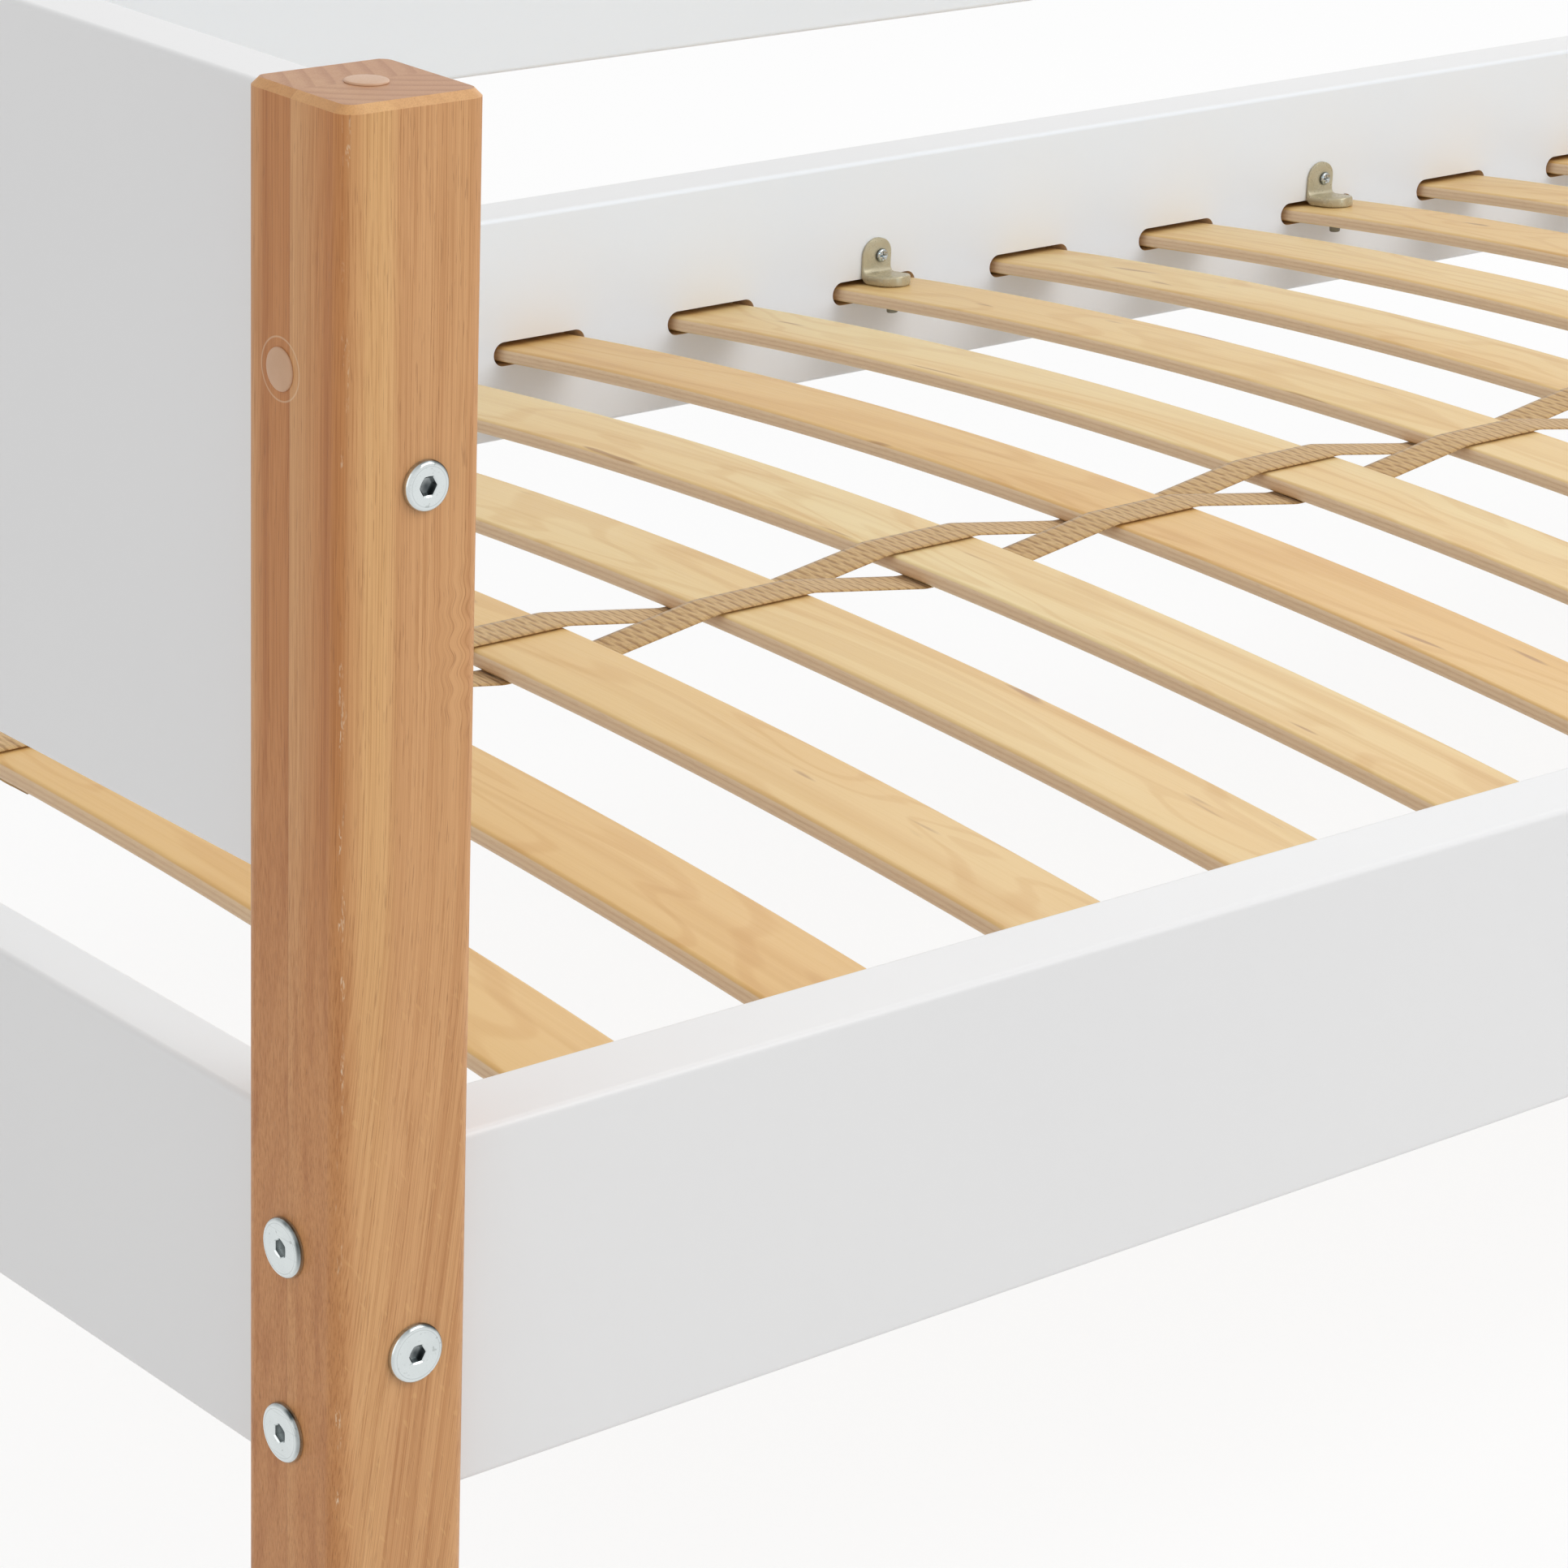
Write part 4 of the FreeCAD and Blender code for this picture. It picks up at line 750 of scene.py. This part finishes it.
class BED_OT_slats(bpy.types.Operator):
    """Make the bowed slats"""

    bl_idname = "bed.slats"
    bl_label = "Slats"

    def execute(self, context):
        scene = context.scene
        sizes = scene.bed_sizes
        tree, ids = self.slat_tree()
        wood = birch(scene.bed_finishes, sizes)
        for number, node in enumerate(SLATS):
            low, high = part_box(node)
            axis = high.z - sizes.bow_radius - sizes.slat_thickness / 2
            values = {
                "Width": high.x - low.x, "Thickness": sizes.slat_thickness,
                "Edge Radius": sizes.slat_edge, "Bow Radius": sizes.bow_radius,
                "Half Angle": math.asin((RAIL_FACE + SLAT_REACH) / sizes.bow_radius),
                "Rows": sizes.slat_rows, "Middle": (middle(node, 0), 0.0, axis),
                "Tone": SLAT_TONES[number], "Shift": VENEER_STEP * number, "Wood": wood,
            }
            empty = bpy.data.meshes.new(node)
            piece = grow(link_piece(f"{node}_birch", empty), tree, ids, values)
            settle(piece, "slat_wood", node)
        return {"FINISHED"}

    @staticmethod
    def slat_tree():
        """A rounded section swept along the bow, with its place across, through and along kept."""
        inputs = (("Width", "Float"), ("Thickness", "Float"), ("Edge Radius", "Float"),
                  ("Bow Radius", "Float"), ("Half Angle", "Float"), ("Rows", "Int"),
                  ("Middle", "Vector"), ("Tone", "Float"), ("Shift", "Float"), ("Wood", "Material"))
        tree, start, ids = new_tree("bowed_slat", inputs)
        bow = wire(tree, "GeometryNodeCurveArc", {
            "Resolution": start["Rows"], "Radius": start["Bow Radius"],
            "Start Angle": math.pi / 2 - start["Half Angle"], "Sweep Angle": start["Half Angle"] * 2.0},
            mode="RADIUS")
        upright = wire(tree, "GeometryNodeTransform", {
            "Geometry": bow, "Translation": start["Middle"], "Rotation": (math.pi / 2, 0.0, math.pi / 2)})
        level = wire(tree, "GeometryNodeSetCurveNormal", {"Curve": upright}, mode="Z_UP")
        run = wire(tree, "GeometryNodeSplineParameter", output="Length")
        path = store(tree, level, "along", "FLOAT", run)
        block = wire(tree, "GeometryNodeCurvePrimitiveQuadrilateral",
                     {"Width": start["Width"], "Height": start["Thickness"]})
        section = wire(tree, "GeometryNodeFilletCurve",
                       {"Curve": block, "Radius": start["Edge Radius"], "Count": 6}, mode="POLY")
        profile = store(tree, section, "section", "FLOAT_VECTOR", wire(tree, "GeometryNodeInputPosition"))
        swept = wire(tree, "GeometryNodeCurveToMesh",
                     {"Curve": path, "Profile Curve": profile, "Fill Caps": True})
        toned = store(tree, swept, "tone", "FLOAT", start["Tone"])
        shifted = store(tree, toned, "shift", "FLOAT", start["Shift"])
        smooth = wire(tree, "GeometryNodeSetShadeSmooth", {"Geometry": shifted})
        end_tree(tree, smooth, start["Wood"])
        return tree, ids


class BED_OT_tapes(bpy.types.Operator):
    """Weave the two tapes through the slats"""

    bl_idname = "bed.tapes"
    bl_label = "Tapes"

    def execute(self, context):
        scene = context.scene
        sizes = scene.bed_sizes
        tree, ids = self.tape_tree()
        cloth = webbing(scene.bed_finishes)
        first, last = middle(SLATS[0], 0), middle(SLATS[-1], 0)
        pitch = (last - first) / (len(SLATS) - 1)
        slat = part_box(SLATS[0])
        for node, sign in (("slat_tape_rear", 1.0), ("slat_tape_front", -1.0)):
            low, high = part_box(node)
            run = high.x - low.x
            values = {
                "Start": (low.x, middle(node, 1), (low.z + high.z) / 2),
                "End": (high.x, middle(node, 1), (low.z + high.z) / 2),
                "Rows": int(ROWS_PER_RIB * run / sizes.rib_pitch), "First Slat": first,
                "Slat Pitch": pitch, "Side": sign, "Rise": (high.z - low.z - sizes.tape_thickness) / 2,
                "Slat Share": (slat[1].x - slat[0].x) / pitch, "Width": high.y - low.y,
                "Thickness": sizes.tape_thickness - sizes.rib_height, "Rib Pitch": sizes.rib_pitch,
                "Rib Height": sizes.rib_height, "Cloth": cloth,
            }
            empty = bpy.data.meshes.new(node)
            piece = grow(link_piece(f"{node}_webbing", empty), tree, ids, values)
            settle(piece, "tape_webbing", node)
        return {"FINISHED"}

    @staticmethod
    def tape_tree():
        """A ribbon that passes over and under the slats by turns, with ribs across it."""
        inputs = (("Start", "Vector"), ("End", "Vector"), ("Rows", "Int"), ("First Slat", "Float"),
                  ("Slat Pitch", "Float"), ("Side", "Float"), ("Rise", "Float"), ("Slat Share", "Float"),
                  ("Width", "Float"), ("Thickness", "Float"), ("Rib Pitch", "Float"),
                  ("Rib Height", "Float"), ("Cloth", "Material"))
        tree, start, ids = new_tree("woven_tape", inputs)
        line = wire(tree, "GeometryNodeCurvePrimitiveLine", {"Start": start["Start"], "End": start["End"]})
        fine = wire(tree, "GeometryNodeResampleCurve", {"Curve": line, "Count": start["Rows"]})
        spot = wire(tree, "GeometryNodeInputPosition")
        slats = (split(tree, spot)[0] - start["First Slat"]) / start["Slat Pitch"]
        # 1 over the first slat, -1 under the next and so on, level across each slat
        sway = 1.0 - calc(tree, "PINGPONG", slats, 1.0) * 2.0
        steep = sway / (1.0 - start["Slat Share"])
        level = calc(tree, "SMOOTH_MAX", calc(tree, "SMOOTH_MIN", steep, 1.0, 0.1), -1.0, 0.1)
        lift = level * start["Rise"] * start["Side"]
        woven = wire(tree, "GeometryNodeSetPosition",
                     {"Geometry": fine, "Offset": join(tree, 0.0, 0.0, lift)})
        flat = wire(tree, "GeometryNodeSetCurveNormal", {"Curve": woven}, mode="Z_UP")
        run = wire(tree, "GeometryNodeSplineParameter", output="Length")
        path = store(tree, flat, "along", "FLOAT", run)

        # A flat section, cut into strips along its two broad sides and thinner at its edges
        block = wire(tree, "GeometryNodeCurvePrimitiveQuadrilateral",
                     {"Width": start["Width"], "Height": start["Thickness"]})
        cuts = (1.0 - calc(tree, "MODULO", wire(tree, "GeometryNodeInputIndex"), 2.0)) * 7.0
        strip = wire(tree, "GeometryNodeSubdivideCurve", {"Curve": block, "Cuts": cuts})
        u, v, _ = split(tree, spot)
        outwards = abs(u) / (start["Width"] * 0.5)
        thin = calc(tree, "POWER", outwards, 6.0) * -0.45
        eased = wire(tree, "GeometryNodeSetPosition",
                     {"Geometry": strip, "Offset": join(tree, 0.0, v * thin, 0.0)})
        profile = store(tree, eased, "section", "FLOAT_VECTOR", spot)
        ribbon = wire(tree, "GeometryNodeCurveToMesh",
                      {"Curve": path, "Profile Curve": profile, "Fill Caps": True})

        # Ribs of paired yarns, half a step apart on the two halves of the tape
        sideways = split(tree, read(tree, "section", "FLOAT_VECTOR"))[0] / start["Width"]
        count = read(tree, "along", "FLOAT") / start["Rib Pitch"] + sideways * 0.15
        grooves = [span(tree, calc(tree, "PINGPONG", count + shift, 0.5), 0.22, 0.47) for shift in (0.0, 0.5)]
        groove = mix(tree, span(tree, sideways, -0.05, 0.05), *grooves)
        yarns = calc(tree, "COSINE", count * (2 * math.tau))
        rib = calc(tree, "MULTIPLY_ADD", yarns, -0.2, 0.8) - groove * 0.6
        ribbed = store(tree, ribbon, "rib", "FLOAT", rib)
        inwards = span(tree, abs(sideways), 0.5, 0.44)
        swell = (rib - 0.5) * (start["Rib Height"] * 0.5) * inwards
        push = wire(tree, "ShaderNodeVectorMath", {0: wire(tree, "GeometryNodeInputNormal"), "Scale": swell},
                    operation="SCALE")
        raised = wire(tree, "GeometryNodeSetPosition", {"Geometry": ribbed, "Offset": push})
        smooth = wire(tree, "GeometryNodeSetShadeSmooth", {"Geometry": raised})
        end_tree(tree, smooth, start["Cloth"])
        return tree, ids


class BED_OT_bolts(bpy.types.Operator):
    """Set the connector bolts into the posts"""

    bl_idname = "bed.bolts"
    bl_label = "Bolts"

    def execute(self, context):
        scene = context.scene
        zinc = plated("bolt_zinc", scene.bed_finishes.zinc, 1.0, 0.14, 0.22, 0.3, 0.4)
        rows = {
            "side_rail_bolts": [((end * POST_OUT_X, side * RAIL_Y, share_height("back_rail", share)),
                                 END_TURNS[end])
                                for end in (-1, 1) for side in (-1, 1) for share in SIDE_RAIL_SHARES],
            "back_panel_bolts": [((end * POST_OUT_X, PANEL_Y, share_height("back_panel", BACK_PANEL_SHARE)),
                                  END_TURNS[end]) for end in (-1, 1)],
        }
        for node, board, share in (("end_rail_bolts", "left_end_rail", END_RAIL_SHARE),
                                   ("end_panel_bolts", "left_end_panel", END_PANEL_SHARE)):
            rows[node] = [((end * END_X, side * POST_OUT_Y, share_height(board, share)), SIDE_TURNS[side])
                          for end in (-1, 1) for side in (-1, 1)]
        sizes = scene.bed_sizes
        for node, places in rows.items():
            head = sizes.panel_bolt_head if "panel" in node else sizes.rail_bolt_head
            # Turn of the painted dark reflection on the heads, on their upper right side in the camera's view
            shade_turn = math.radians(50 if node.startswith("end") else -40)
            bolt = self.bolt(sizes, head, shade_turn)
            settle(set_out(f"{node}_zinc", bolt, places, zinc), "bolt_steel", node)
        return {"FINISHED"}

    @staticmethod
    def bolt(sizes, head, shade_turn):
        """A disc head with a rounded edge and a hexagon socket, on a plain shank with a blunt tip; painted
        shade at its seat, crease and socket, and a painted dark reflection on its edge.
        """
        radius, rise, hexagon = head / 2, sizes.bolt_rise, sizes.socket / 2
        shank, tip, bevel = 3 * MM, -90.5 * MM, sizes.bolt_bevel
        # The seat rings carry painted shade where the head sits on the post
        rings = [Ring(0, tip), Ring(shank - 0.8 * MM, tip), Ring(shank, tip + 0.8 * MM), Ring(shank, 0),
                 Ring(radius - 0.2 * MM, 0, recess=0.6), Ring(radius, 0.2 * MM, recess=0.2)]
        rim = rounded((radius, rise - bevel), (radius - bevel, rise), 7)
        # The rounded edge carries the painted dark reflection, strongest on its outer steps
        rings += [point._replace(rim=shade) for point, shade in zip(rim, (1, 1, 1, 1, 0.9, 0.5, 0.1, 0))]
        # Painted shade in the crease ring and down the hexagon socket, darkest at its bottom
        rings += [Ring(radius - bevel - 0.25 * MM, rise, recess=0.2), Ring(radius - bevel - 0.5 * MM, rise),
                  Ring(hexagon + 1.3 * MM, rise), Ring(hexagon + 0.5 * MM, rise, 0.6),
                  Ring(hexagon, rise - 0.45 * MM, 1, 0.2), Ring(hexagon, rise - 0.7 * MM, 1, 0.7),
                  Ring(hexagon, rise - 1.4 * MM, 1, 1.0), Ring(hexagon, rise - 2.0 * MM, 1, 1.0),
                  Ring(0, rise - 2.0 * MM, 0, 1.0)]
        return turned_mesh("connector_bolt", rings, 48, shade_turn)


class BED_OT_plugs(bpy.types.Operator):
    """Press the cover plugs into the posts"""

    bl_idname = "bed.plugs"
    bl_label = "Plugs"

    def execute(self, context):
        scene = context.scene
        beige = plastic("plug_plastic", scene.bed_finishes.plug, 0.30, 0.42)
        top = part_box(POSTS[0])[1].z
        tops = [((middle(name, 0), middle(name, 1), top), (0.0, 0.0, 0.0)) for name in POSTS]
        height = share_height("back_panel", BACK_PANEL_SHARE)
        sides = []
        for end in (-1, 1):
            sides.append(((end * POST_OUT_X, -PANEL_Y, height), END_TURNS[end]))
            sides.append(((end * POST_IN_X, -PANEL_Y, height), END_TURNS[-end]))
        for node, places in (("post_top_plugs", tops), ("side_hole_plugs", sides)):
            piece = set_out(f"{node}_beige", self.plug(scene.bed_sizes), places, beige)
            settle(piece, "plug_plastic", node)
        return {"FINISHED"}

    @staticmethod
    def plug(sizes):
        """A low dome with a rounded edge on a stem."""
        radius, stem, depth = sizes.plug_width / 2, 3.2 * MM, -9 * MM
        rings = [Ring(0, depth), Ring(stem - 0.6 * MM, depth), Ring(stem, depth + 0.8 * MM), Ring(stem, 0),
                 Ring(radius - 0.1 * MM, 0)]
        rings += rounded((radius, 0.15 * MM), (radius - 0.7 * MM, 0.72 * MM), 5)
        rings += [Ring(radius * share, (0.98 - 0.26 * share ** 2) * MM) for share in (0.75, 0.5, 0.25)]
        rings.append(Ring(0, 0.98 * MM))
        return turned_mesh("cover_plug", rings, 40)


class BED_OT_glides(bpy.types.Operator):
    """Drive the glides into the feet of the posts"""

    bl_idname = "bed.glides"
    bl_label = "Glides"

    def execute(self, context):
        scene = context.scene
        pale = plastic("glide_plastic", scene.bed_finishes.glide, 0.45, 0.60)
        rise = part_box(POSTS[0])[0].z
        places = [((middle(name, 0), middle(name, 1), rise), (math.pi, 0.0, 0.0)) for name in POSTS]
        radius, pin, depth = scene.bed_sizes.glide_width / 2, 3 * MM, -14 * MM
        rings = [Ring(0, depth), Ring(pin * 0.4, depth + 0.4 * MM), Ring(pin, depth + 4 * MM), Ring(pin, 0),
                 Ring(radius - 0.4 * MM, 0)]
        rings += rounded((radius, 0.4 * MM), (radius - 1.4 * MM, rise), 6)
        rings += [Ring(radius * 0.6, rise), Ring(0, rise)]
        piece = set_out("foot_glides_plastic", turned_mesh("foot_glide", rings, 40), places, pale)
        settle(piece, "glide_plastic", "foot_glides")
        return {"FINISHED"}


class BED_OT_brackets(bpy.types.Operator):
    """Fit the angle brackets with their screws and pegs"""

    bl_idname = "bed.brackets"
    bl_label = "Brackets"

    def execute(self, context):
        scene = context.scene
        sizes = scene.bed_sizes
        finishes = scene.bed_finishes
        beige = plated("bracket_plate", finishes.bracket, 0.3, 0.24, 0.34, 0.3, 0.0)
        peg_plate = plated("peg_plate", [part * 0.6 for part in finishes.bracket], 0.5, 0.34, 0.5, 0.5, 0.3)
        zinc = plated("screw_zinc", [part * 0.7 for part in finishes.zinc], 1.0, 0.12, 0.20, 0.3, 0.2)
        radius = sizes.bow_radius + sizes.slat_thickness / 2
        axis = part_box(SLATS[0])[1].z - radius
        slope = math.asin(RAIL_FACE / radius)
        foot = axis + radius * math.cos(slope) + FOOT_PLAY
        spots = [middle(name, 0) for name in BRACKET_SLATS]
        bracket = self.bracket(sizes, slope)
        for node, side in (("slat_brackets_front", -1), ("slat_brackets_back", 1)):
            turn = (0.0, 0.0, 0.0 if side > 0 else math.pi)
            places = [((x, side * RAIL_FACE, foot), turn) for x in spots]
            settle(set_out(f"{node}_plate", bracket.copy(), places, beige), "bracket_metal", node)
        sides = [(side, x) for side in (-1, 1) for x in spots]
        face = RAIL_FACE - sizes.bracket_gauge
        heads = [((x + side * SCREW_ASIDE, side * face, foot + SCREW_RISE), SIDE_TURNS[-side])
                 for side, x in sides]
        settle(set_out("bracket_screws_zinc", self.screw(sizes), heads, zinc), "screw_steel",
               "bracket_screws")
        lean = math.asin((RAIL_FACE - PEG_REACH * math.cos(slope)) / radius)
        reach = radius + FOOT_PLAY + sizes.bracket_foot
        pegs = [((x, side * reach * math.sin(lean), axis + reach * math.cos(lean)), (-side * lean, 0.0, 0.0))
                for side, x in sides]
        settle(set_out("bracket_pegs_plate", self.peg(), pegs, peg_plate), "peg_metal", "bracket_pegs")
        return {"FINISHED"}

    @staticmethod
    def contour(top, corner, tip, radius):
        """Points down a leg, round a bend and out along a foot."""
        leg, foot = (top - corner).normalized(), (tip - corner).normalized()
        cut = radius / math.tan(leg.angle(foot) / 2)
        start, end = corner + leg * cut, corner + foot * cut
        steps, bend_steps = 14, 8
        points = [top.lerp(start, 1 - math.cos(math.pi / 2 * step / steps)) for step in range(steps)]
        for step in range(bend_steps + 1):
            share = step / bend_steps
            points.append(start.lerp(corner, share).lerp(corner.lerp(end, share), share))
        points += [end.lerp(tip, math.sin(math.pi / 2 * step / steps)) for step in range(1, steps + 1)]
        return points

    def bracket(self, sizes, slope):
        """A thin leg up the rail and a thick foot along the slat, each with a round end."""
        gauge, leg, bend = sizes.bracket_gauge, sizes.bracket_leg, sizes.bracket_bend
        half, round_end = sizes.bracket_width / 2, 0.48 * sizes.bracket_width
        up, out = Vector((0.0, 0.0, leg)), Vector((0.0, -math.cos(slope), math.sin(slope)))
        thick = Vector((0.0, math.sin(slope), math.cos(slope))) * sizes.bracket_foot
        inner = thick + out * (gauge + thick.y) / math.cos(slope)
        backs = self.contour(up, Vector(), out * leg, bend + gauge)
        fronts = self.contour(Vector((0.0, -gauge, leg)), inner, thick + out * leg, bend)
        middles = [(back + front) / 2 for back, front in zip(backs, fronts)]
        runs = [0.0]
        for before, after in zip(middles, middles[1:]):
            runs.append(runs[-1] + (after - before).length)
        shape = bmesh.new()
        loops = []
        for point, front, run in zip(middles, fronts, runs):
            near_end = min(run, runs[-1] - run, round_end)
            width = half - round_end + math.sqrt(max(round_end ** 2 - (round_end - near_end) ** 2, 0.0))
            width = max(width, 1.6 * MM)
            through = front - point
            depth = through.length - (0.0 if near_end > 0 else 0.3 * MM)
            through.normalize()
            soft = min(1.2 * MM, 0.6 * depth)
            loop = []
            for side, face in ((1, 1), (1, -1), (-1, -1), (-1, 1)):
                turns = (90, 60, 30, 0) if side * face > 0 else (0, 30, 60, 90)
                for turn in map(math.radians, turns):
                    across = side * (width - soft + soft * math.cos(turn))
                    deep = face * (depth - soft + soft * math.sin(turn))
                    loop.append(shape.verts.new(point + Vector((across, 0.0, 0.0)) + through * deep))
            loops.append(loop)
        for first, second in zip(loops, loops[1:]):
            for step in range(len(first)):
                after = (step + 1) % len(first)
                shape.faces.new((first[step], first[after], second[after], second[step]))
        shape.faces.new(loops[0])
        shape.faces.new(loops[-1])
        return close_shape(shape, "slat_bracket")

    @staticmethod
    def screw(sizes):
        """A pan head with a sunk cross on a pointed shank, with painted shade in the cross, down its rounded
        edge and where it sits on the bracket.
        """
        radius, rise, steps = sizes.screw_head / 2, 2.4 * MM, 48
        shank, tip = 1.75 * MM, -20 * MM
        # Painted shade where the head sits on the bracket
        rings = [Ring(0, tip), Ring(shank, tip + 4 * MM), Ring(shank, 0),
                 Ring(radius - 0.2 * MM, 0, recess=0.9)]
        # Painted shade down the rounded edge of the head
        rim = rounded((radius, 0.5 * MM), (radius * 0.72, rise * 0.86), 6)
        rings += [point._replace(recess=shade) for point, shade in zip(rim, (0.9, 0.8, 0.6, 0.3, 0, 0, 0))]
        rings += [Ring(radius * share, rise * (1 - 0.27 * share ** 2))
                  for share in (0.62, 0.54, 0.47, 0.40, 0.33, 0.26, 0.19, 0.12, 0.06)]
        rings.append(Ring(0, rise))
        mesh = turned_mesh("rail_screw", rings, steps)
        recess = mesh.attributes["recess"]
        arm, slot = radius * 0.56, 0.48 * MM
        for vertex in mesh.vertices:
            x, y, z = vertex.co
            off_axis, reach = min(abs(x), abs(y)), max(abs(x), abs(y))
            if z > rise * 0.7 and off_axis < slot and reach < arm:
                share = (1 - (reach / arm) ** 2) ** 0.5
                vertex.co.z -= (0.5 + 0.9 * share) * MM
                # Painted shade inside the cross
                recess.data[vertex.index].value = 0.75
        return mesh

    @staticmethod
    def peg():
        """A peg flush with the bracket, rounded at its lower end."""
        radius, tip = 3.25 * MM, -21.8 * MM
        # Painted shade on the lower end, which hangs under the slat
        rings = [Ring(0, tip, 0, 0.6)]
        for point in rounded((radius, tip + 1.0 * MM), (radius - 1.0 * MM, tip), 4)[::-1]:
            rings.append(point._replace(recess=0.4))
        rings += [Ring(radius, -0.4 * MM), Ring(radius - 0.4 * MM, 0), Ring(0, 0)]
        return turned_mesh("slat_peg", rings, 32)


class BED_OT_inner_fittings(bpy.types.Operator):
    """Finish the barrel nuts and dowels inside the boards"""

    bl_idname = "bed.inner_fittings"
    bl_label = "Nuts and dowels"

    def execute(self, context):
        finishes = context.scene.bed_finishes
        paint(NUTS, plated("nut_zinc", finishes.zinc, 1.0, 0.28, 0.42, 0.7, 0.4))
        paint(DOWELS, raw_wood(finishes))
        return {"FINISHED"}


class BED_OT_stage(bpy.types.Operator):
    """Lay the floor, hang the lamps and place the camera"""

    bl_idname = "bed.stage"
    bl_label = "Stage"

    def execute(self, context):
        scene = context.scene
        stage = scene.bed_stage
        scene.view_settings.view_transform = "Standard"
        self.lay_floor()
        self.set_world(scene, stage.ambient)
        self.add_lamp("key_lamp", (1.2, -3.2, 3.2), LAMP_SIZE, stage.key)
        self.add_lamp("fill_lamp", (-4.0, -0.4, 1.6), LAMP_SIZE, stage.fill)
        self.add_lamp("top_lamp", (1.6, 0.7, 2.6), LAMP_SIZE, stage.top)
        self.add_beam(stage.back)
        lens = bpy.data.cameras.new("camera")
        lens.sensor_width = 36.0
        lens.lens = stage.lens
        lens.shift_x, lens.shift_y = CAMERA_SHIFT
        lens.clip_end = 100.0
        camera = link_piece("camera", lens)
        camera.location = CAMERA_PLACE
        camera.rotation_euler = [math.radians(angle) for angle in CAMERA_TURN]
        scene.camera = camera
        return {"FINISHED"}

    @staticmethod
    def seen_rays(tree):
        """1 for rays of the camera, of gloss and through glass."""
        path = named_wires(tree, add_node(tree, "ShaderNodeLightPath"))
        seen = calc(tree, "MAXIMUM", path["Is Camera Ray"], path["Is Glossy Ray"])
        return calc(tree, "MAXIMUM", seen, path["Is Transmission Ray"])

    def lay_floor(self):
        half = 30.0
        mesh = bpy.data.meshes.new("floor")
        mesh.from_pydata([(-half, -half, 0), (half, -half, 0), (half, half, 0), (-half, half, 0)], [],
                         [(0, 1, 2, 3)])
        floor = link_piece("floor", mesh)
        material, tree, shader, _ = new_material("floor_white")
        seen = self.seen_rays(tree)
        blend(tree, seen, (0.78, 0.78, 0.78), (0.96, 0.96, 0.96)).to(shader.inputs["Base Color"])
        shader.inputs["Roughness"].default_value = 0.9
        glow = wire(tree, "ShaderNodeEmission", {"Color": (1.0, 1.0, 1.0, 1.0), "Strength": 1.0})
        mixed = wire(tree, "ShaderNodeMixShader",
                     {0: seen * 0.85, 1: Wire(tree, shader.outputs[0]), 2: glow})
        mixed.to(next(node for node in tree.nodes if node.type == "OUTPUT_MATERIAL").inputs["Surface"])
        mesh.materials.append(material)

    def set_world(self, scene, ambient):
        world = bpy.data.worlds.new("studio")
        world.use_nodes = True
        tree = world.node_tree
        shell = next(node for node in tree.nodes if node.type == "BACKGROUND")
        shell.inputs["Color"].default_value = (1.0, 1.0, 1.0, 1.0)
        span(tree, self.seen_rays(tree), 0.0, 1.0, ambient, 1.0).to(shell.inputs["Strength"])
        scene.world = world

    @staticmethod
    def add_lamp(name, place, size, power, target=(0.0, 0.0, 0.35)):
        """A square lamp that looks at the middle of the bed, or at another target."""
        light = bpy.data.lights.new(name, "AREA")
        light.shape = "SQUARE"
        light.size = size
        light.energy = power
        lamp = link_piece(name, light)
        lamp.location = place
        aim = Vector(target) - lamp.location
        lamp.rotation_euler = aim.to_track_quat("-Z", "Y").to_euler()
        return light

    def add_beam(self, power):
        """A flat beam over the front rail, cool enough to cancel the warm light off the slats."""
        light = self.add_lamp("back_lamp", (0.0, -1.3, 0.630), 1.90, power, target=(0.0, 0.46, 0.474))
        light.shape = "RECTANGLE"
        light.size_y = 0.387
        light.spread = math.radians(4.0)
        light.color = (0.36, 0.69, 1.0)


OPERATORS = (BED_OT_posts, BED_OT_boards, BED_OT_slats, BED_OT_tapes, BED_OT_bolts, BED_OT_plugs,
             BED_OT_glides, BED_OT_brackets, BED_OT_inner_fittings, BED_OT_stage)


class BED_PT_sidebar(bpy.types.Panel):
    """The bed's pieces and settings"""

    bl_idname = "BED_PT_sidebar"
    bl_label = "Single Bed"
    bl_space_type = "VIEW_3D"
    bl_region_type = "UI"
    bl_category = "Bed"

    def draw(self, context):
        for operator in OPERATORS:
            self.layout.operator(operator.bl_idname)
        for group in (context.scene.bed_finishes, context.scene.bed_sizes, context.scene.bed_stage):
            box = self.layout.box()
            for name in group.__annotations__:
                box.prop(group, name)


CLASSES = (BedFinishes, BedSizes, BedStage, *OPERATORS, BED_PT_sidebar)


def register():
    for item in CLASSES:
        bpy.utils.register_class(item)
    bpy.types.Scene.bed_finishes = PointerProperty(type=BedFinishes)
    bpy.types.Scene.bed_sizes = PointerProperty(type=BedSizes)
    bpy.types.Scene.bed_stage = PointerProperty(type=BedStage)


def unregister():
    del bpy.types.Scene.bed_stage
    del bpy.types.Scene.bed_sizes
    del bpy.types.Scene.bed_finishes
    for item in reversed(CLASSES):
        bpy.utils.unregister_class(item)


def main():
    register()
    bpy.ops.bed.posts()
    bpy.ops.bed.boards()
    bpy.ops.bed.slats()
    bpy.ops.bed.tapes()
    bpy.ops.bed.bolts()
    bpy.ops.bed.plugs()
    bpy.ops.bed.glides()
    bpy.ops.bed.brackets()
    bpy.ops.bed.inner_fittings()
    bpy.ops.bed.stage()


if __name__ == "__main__":
    main()
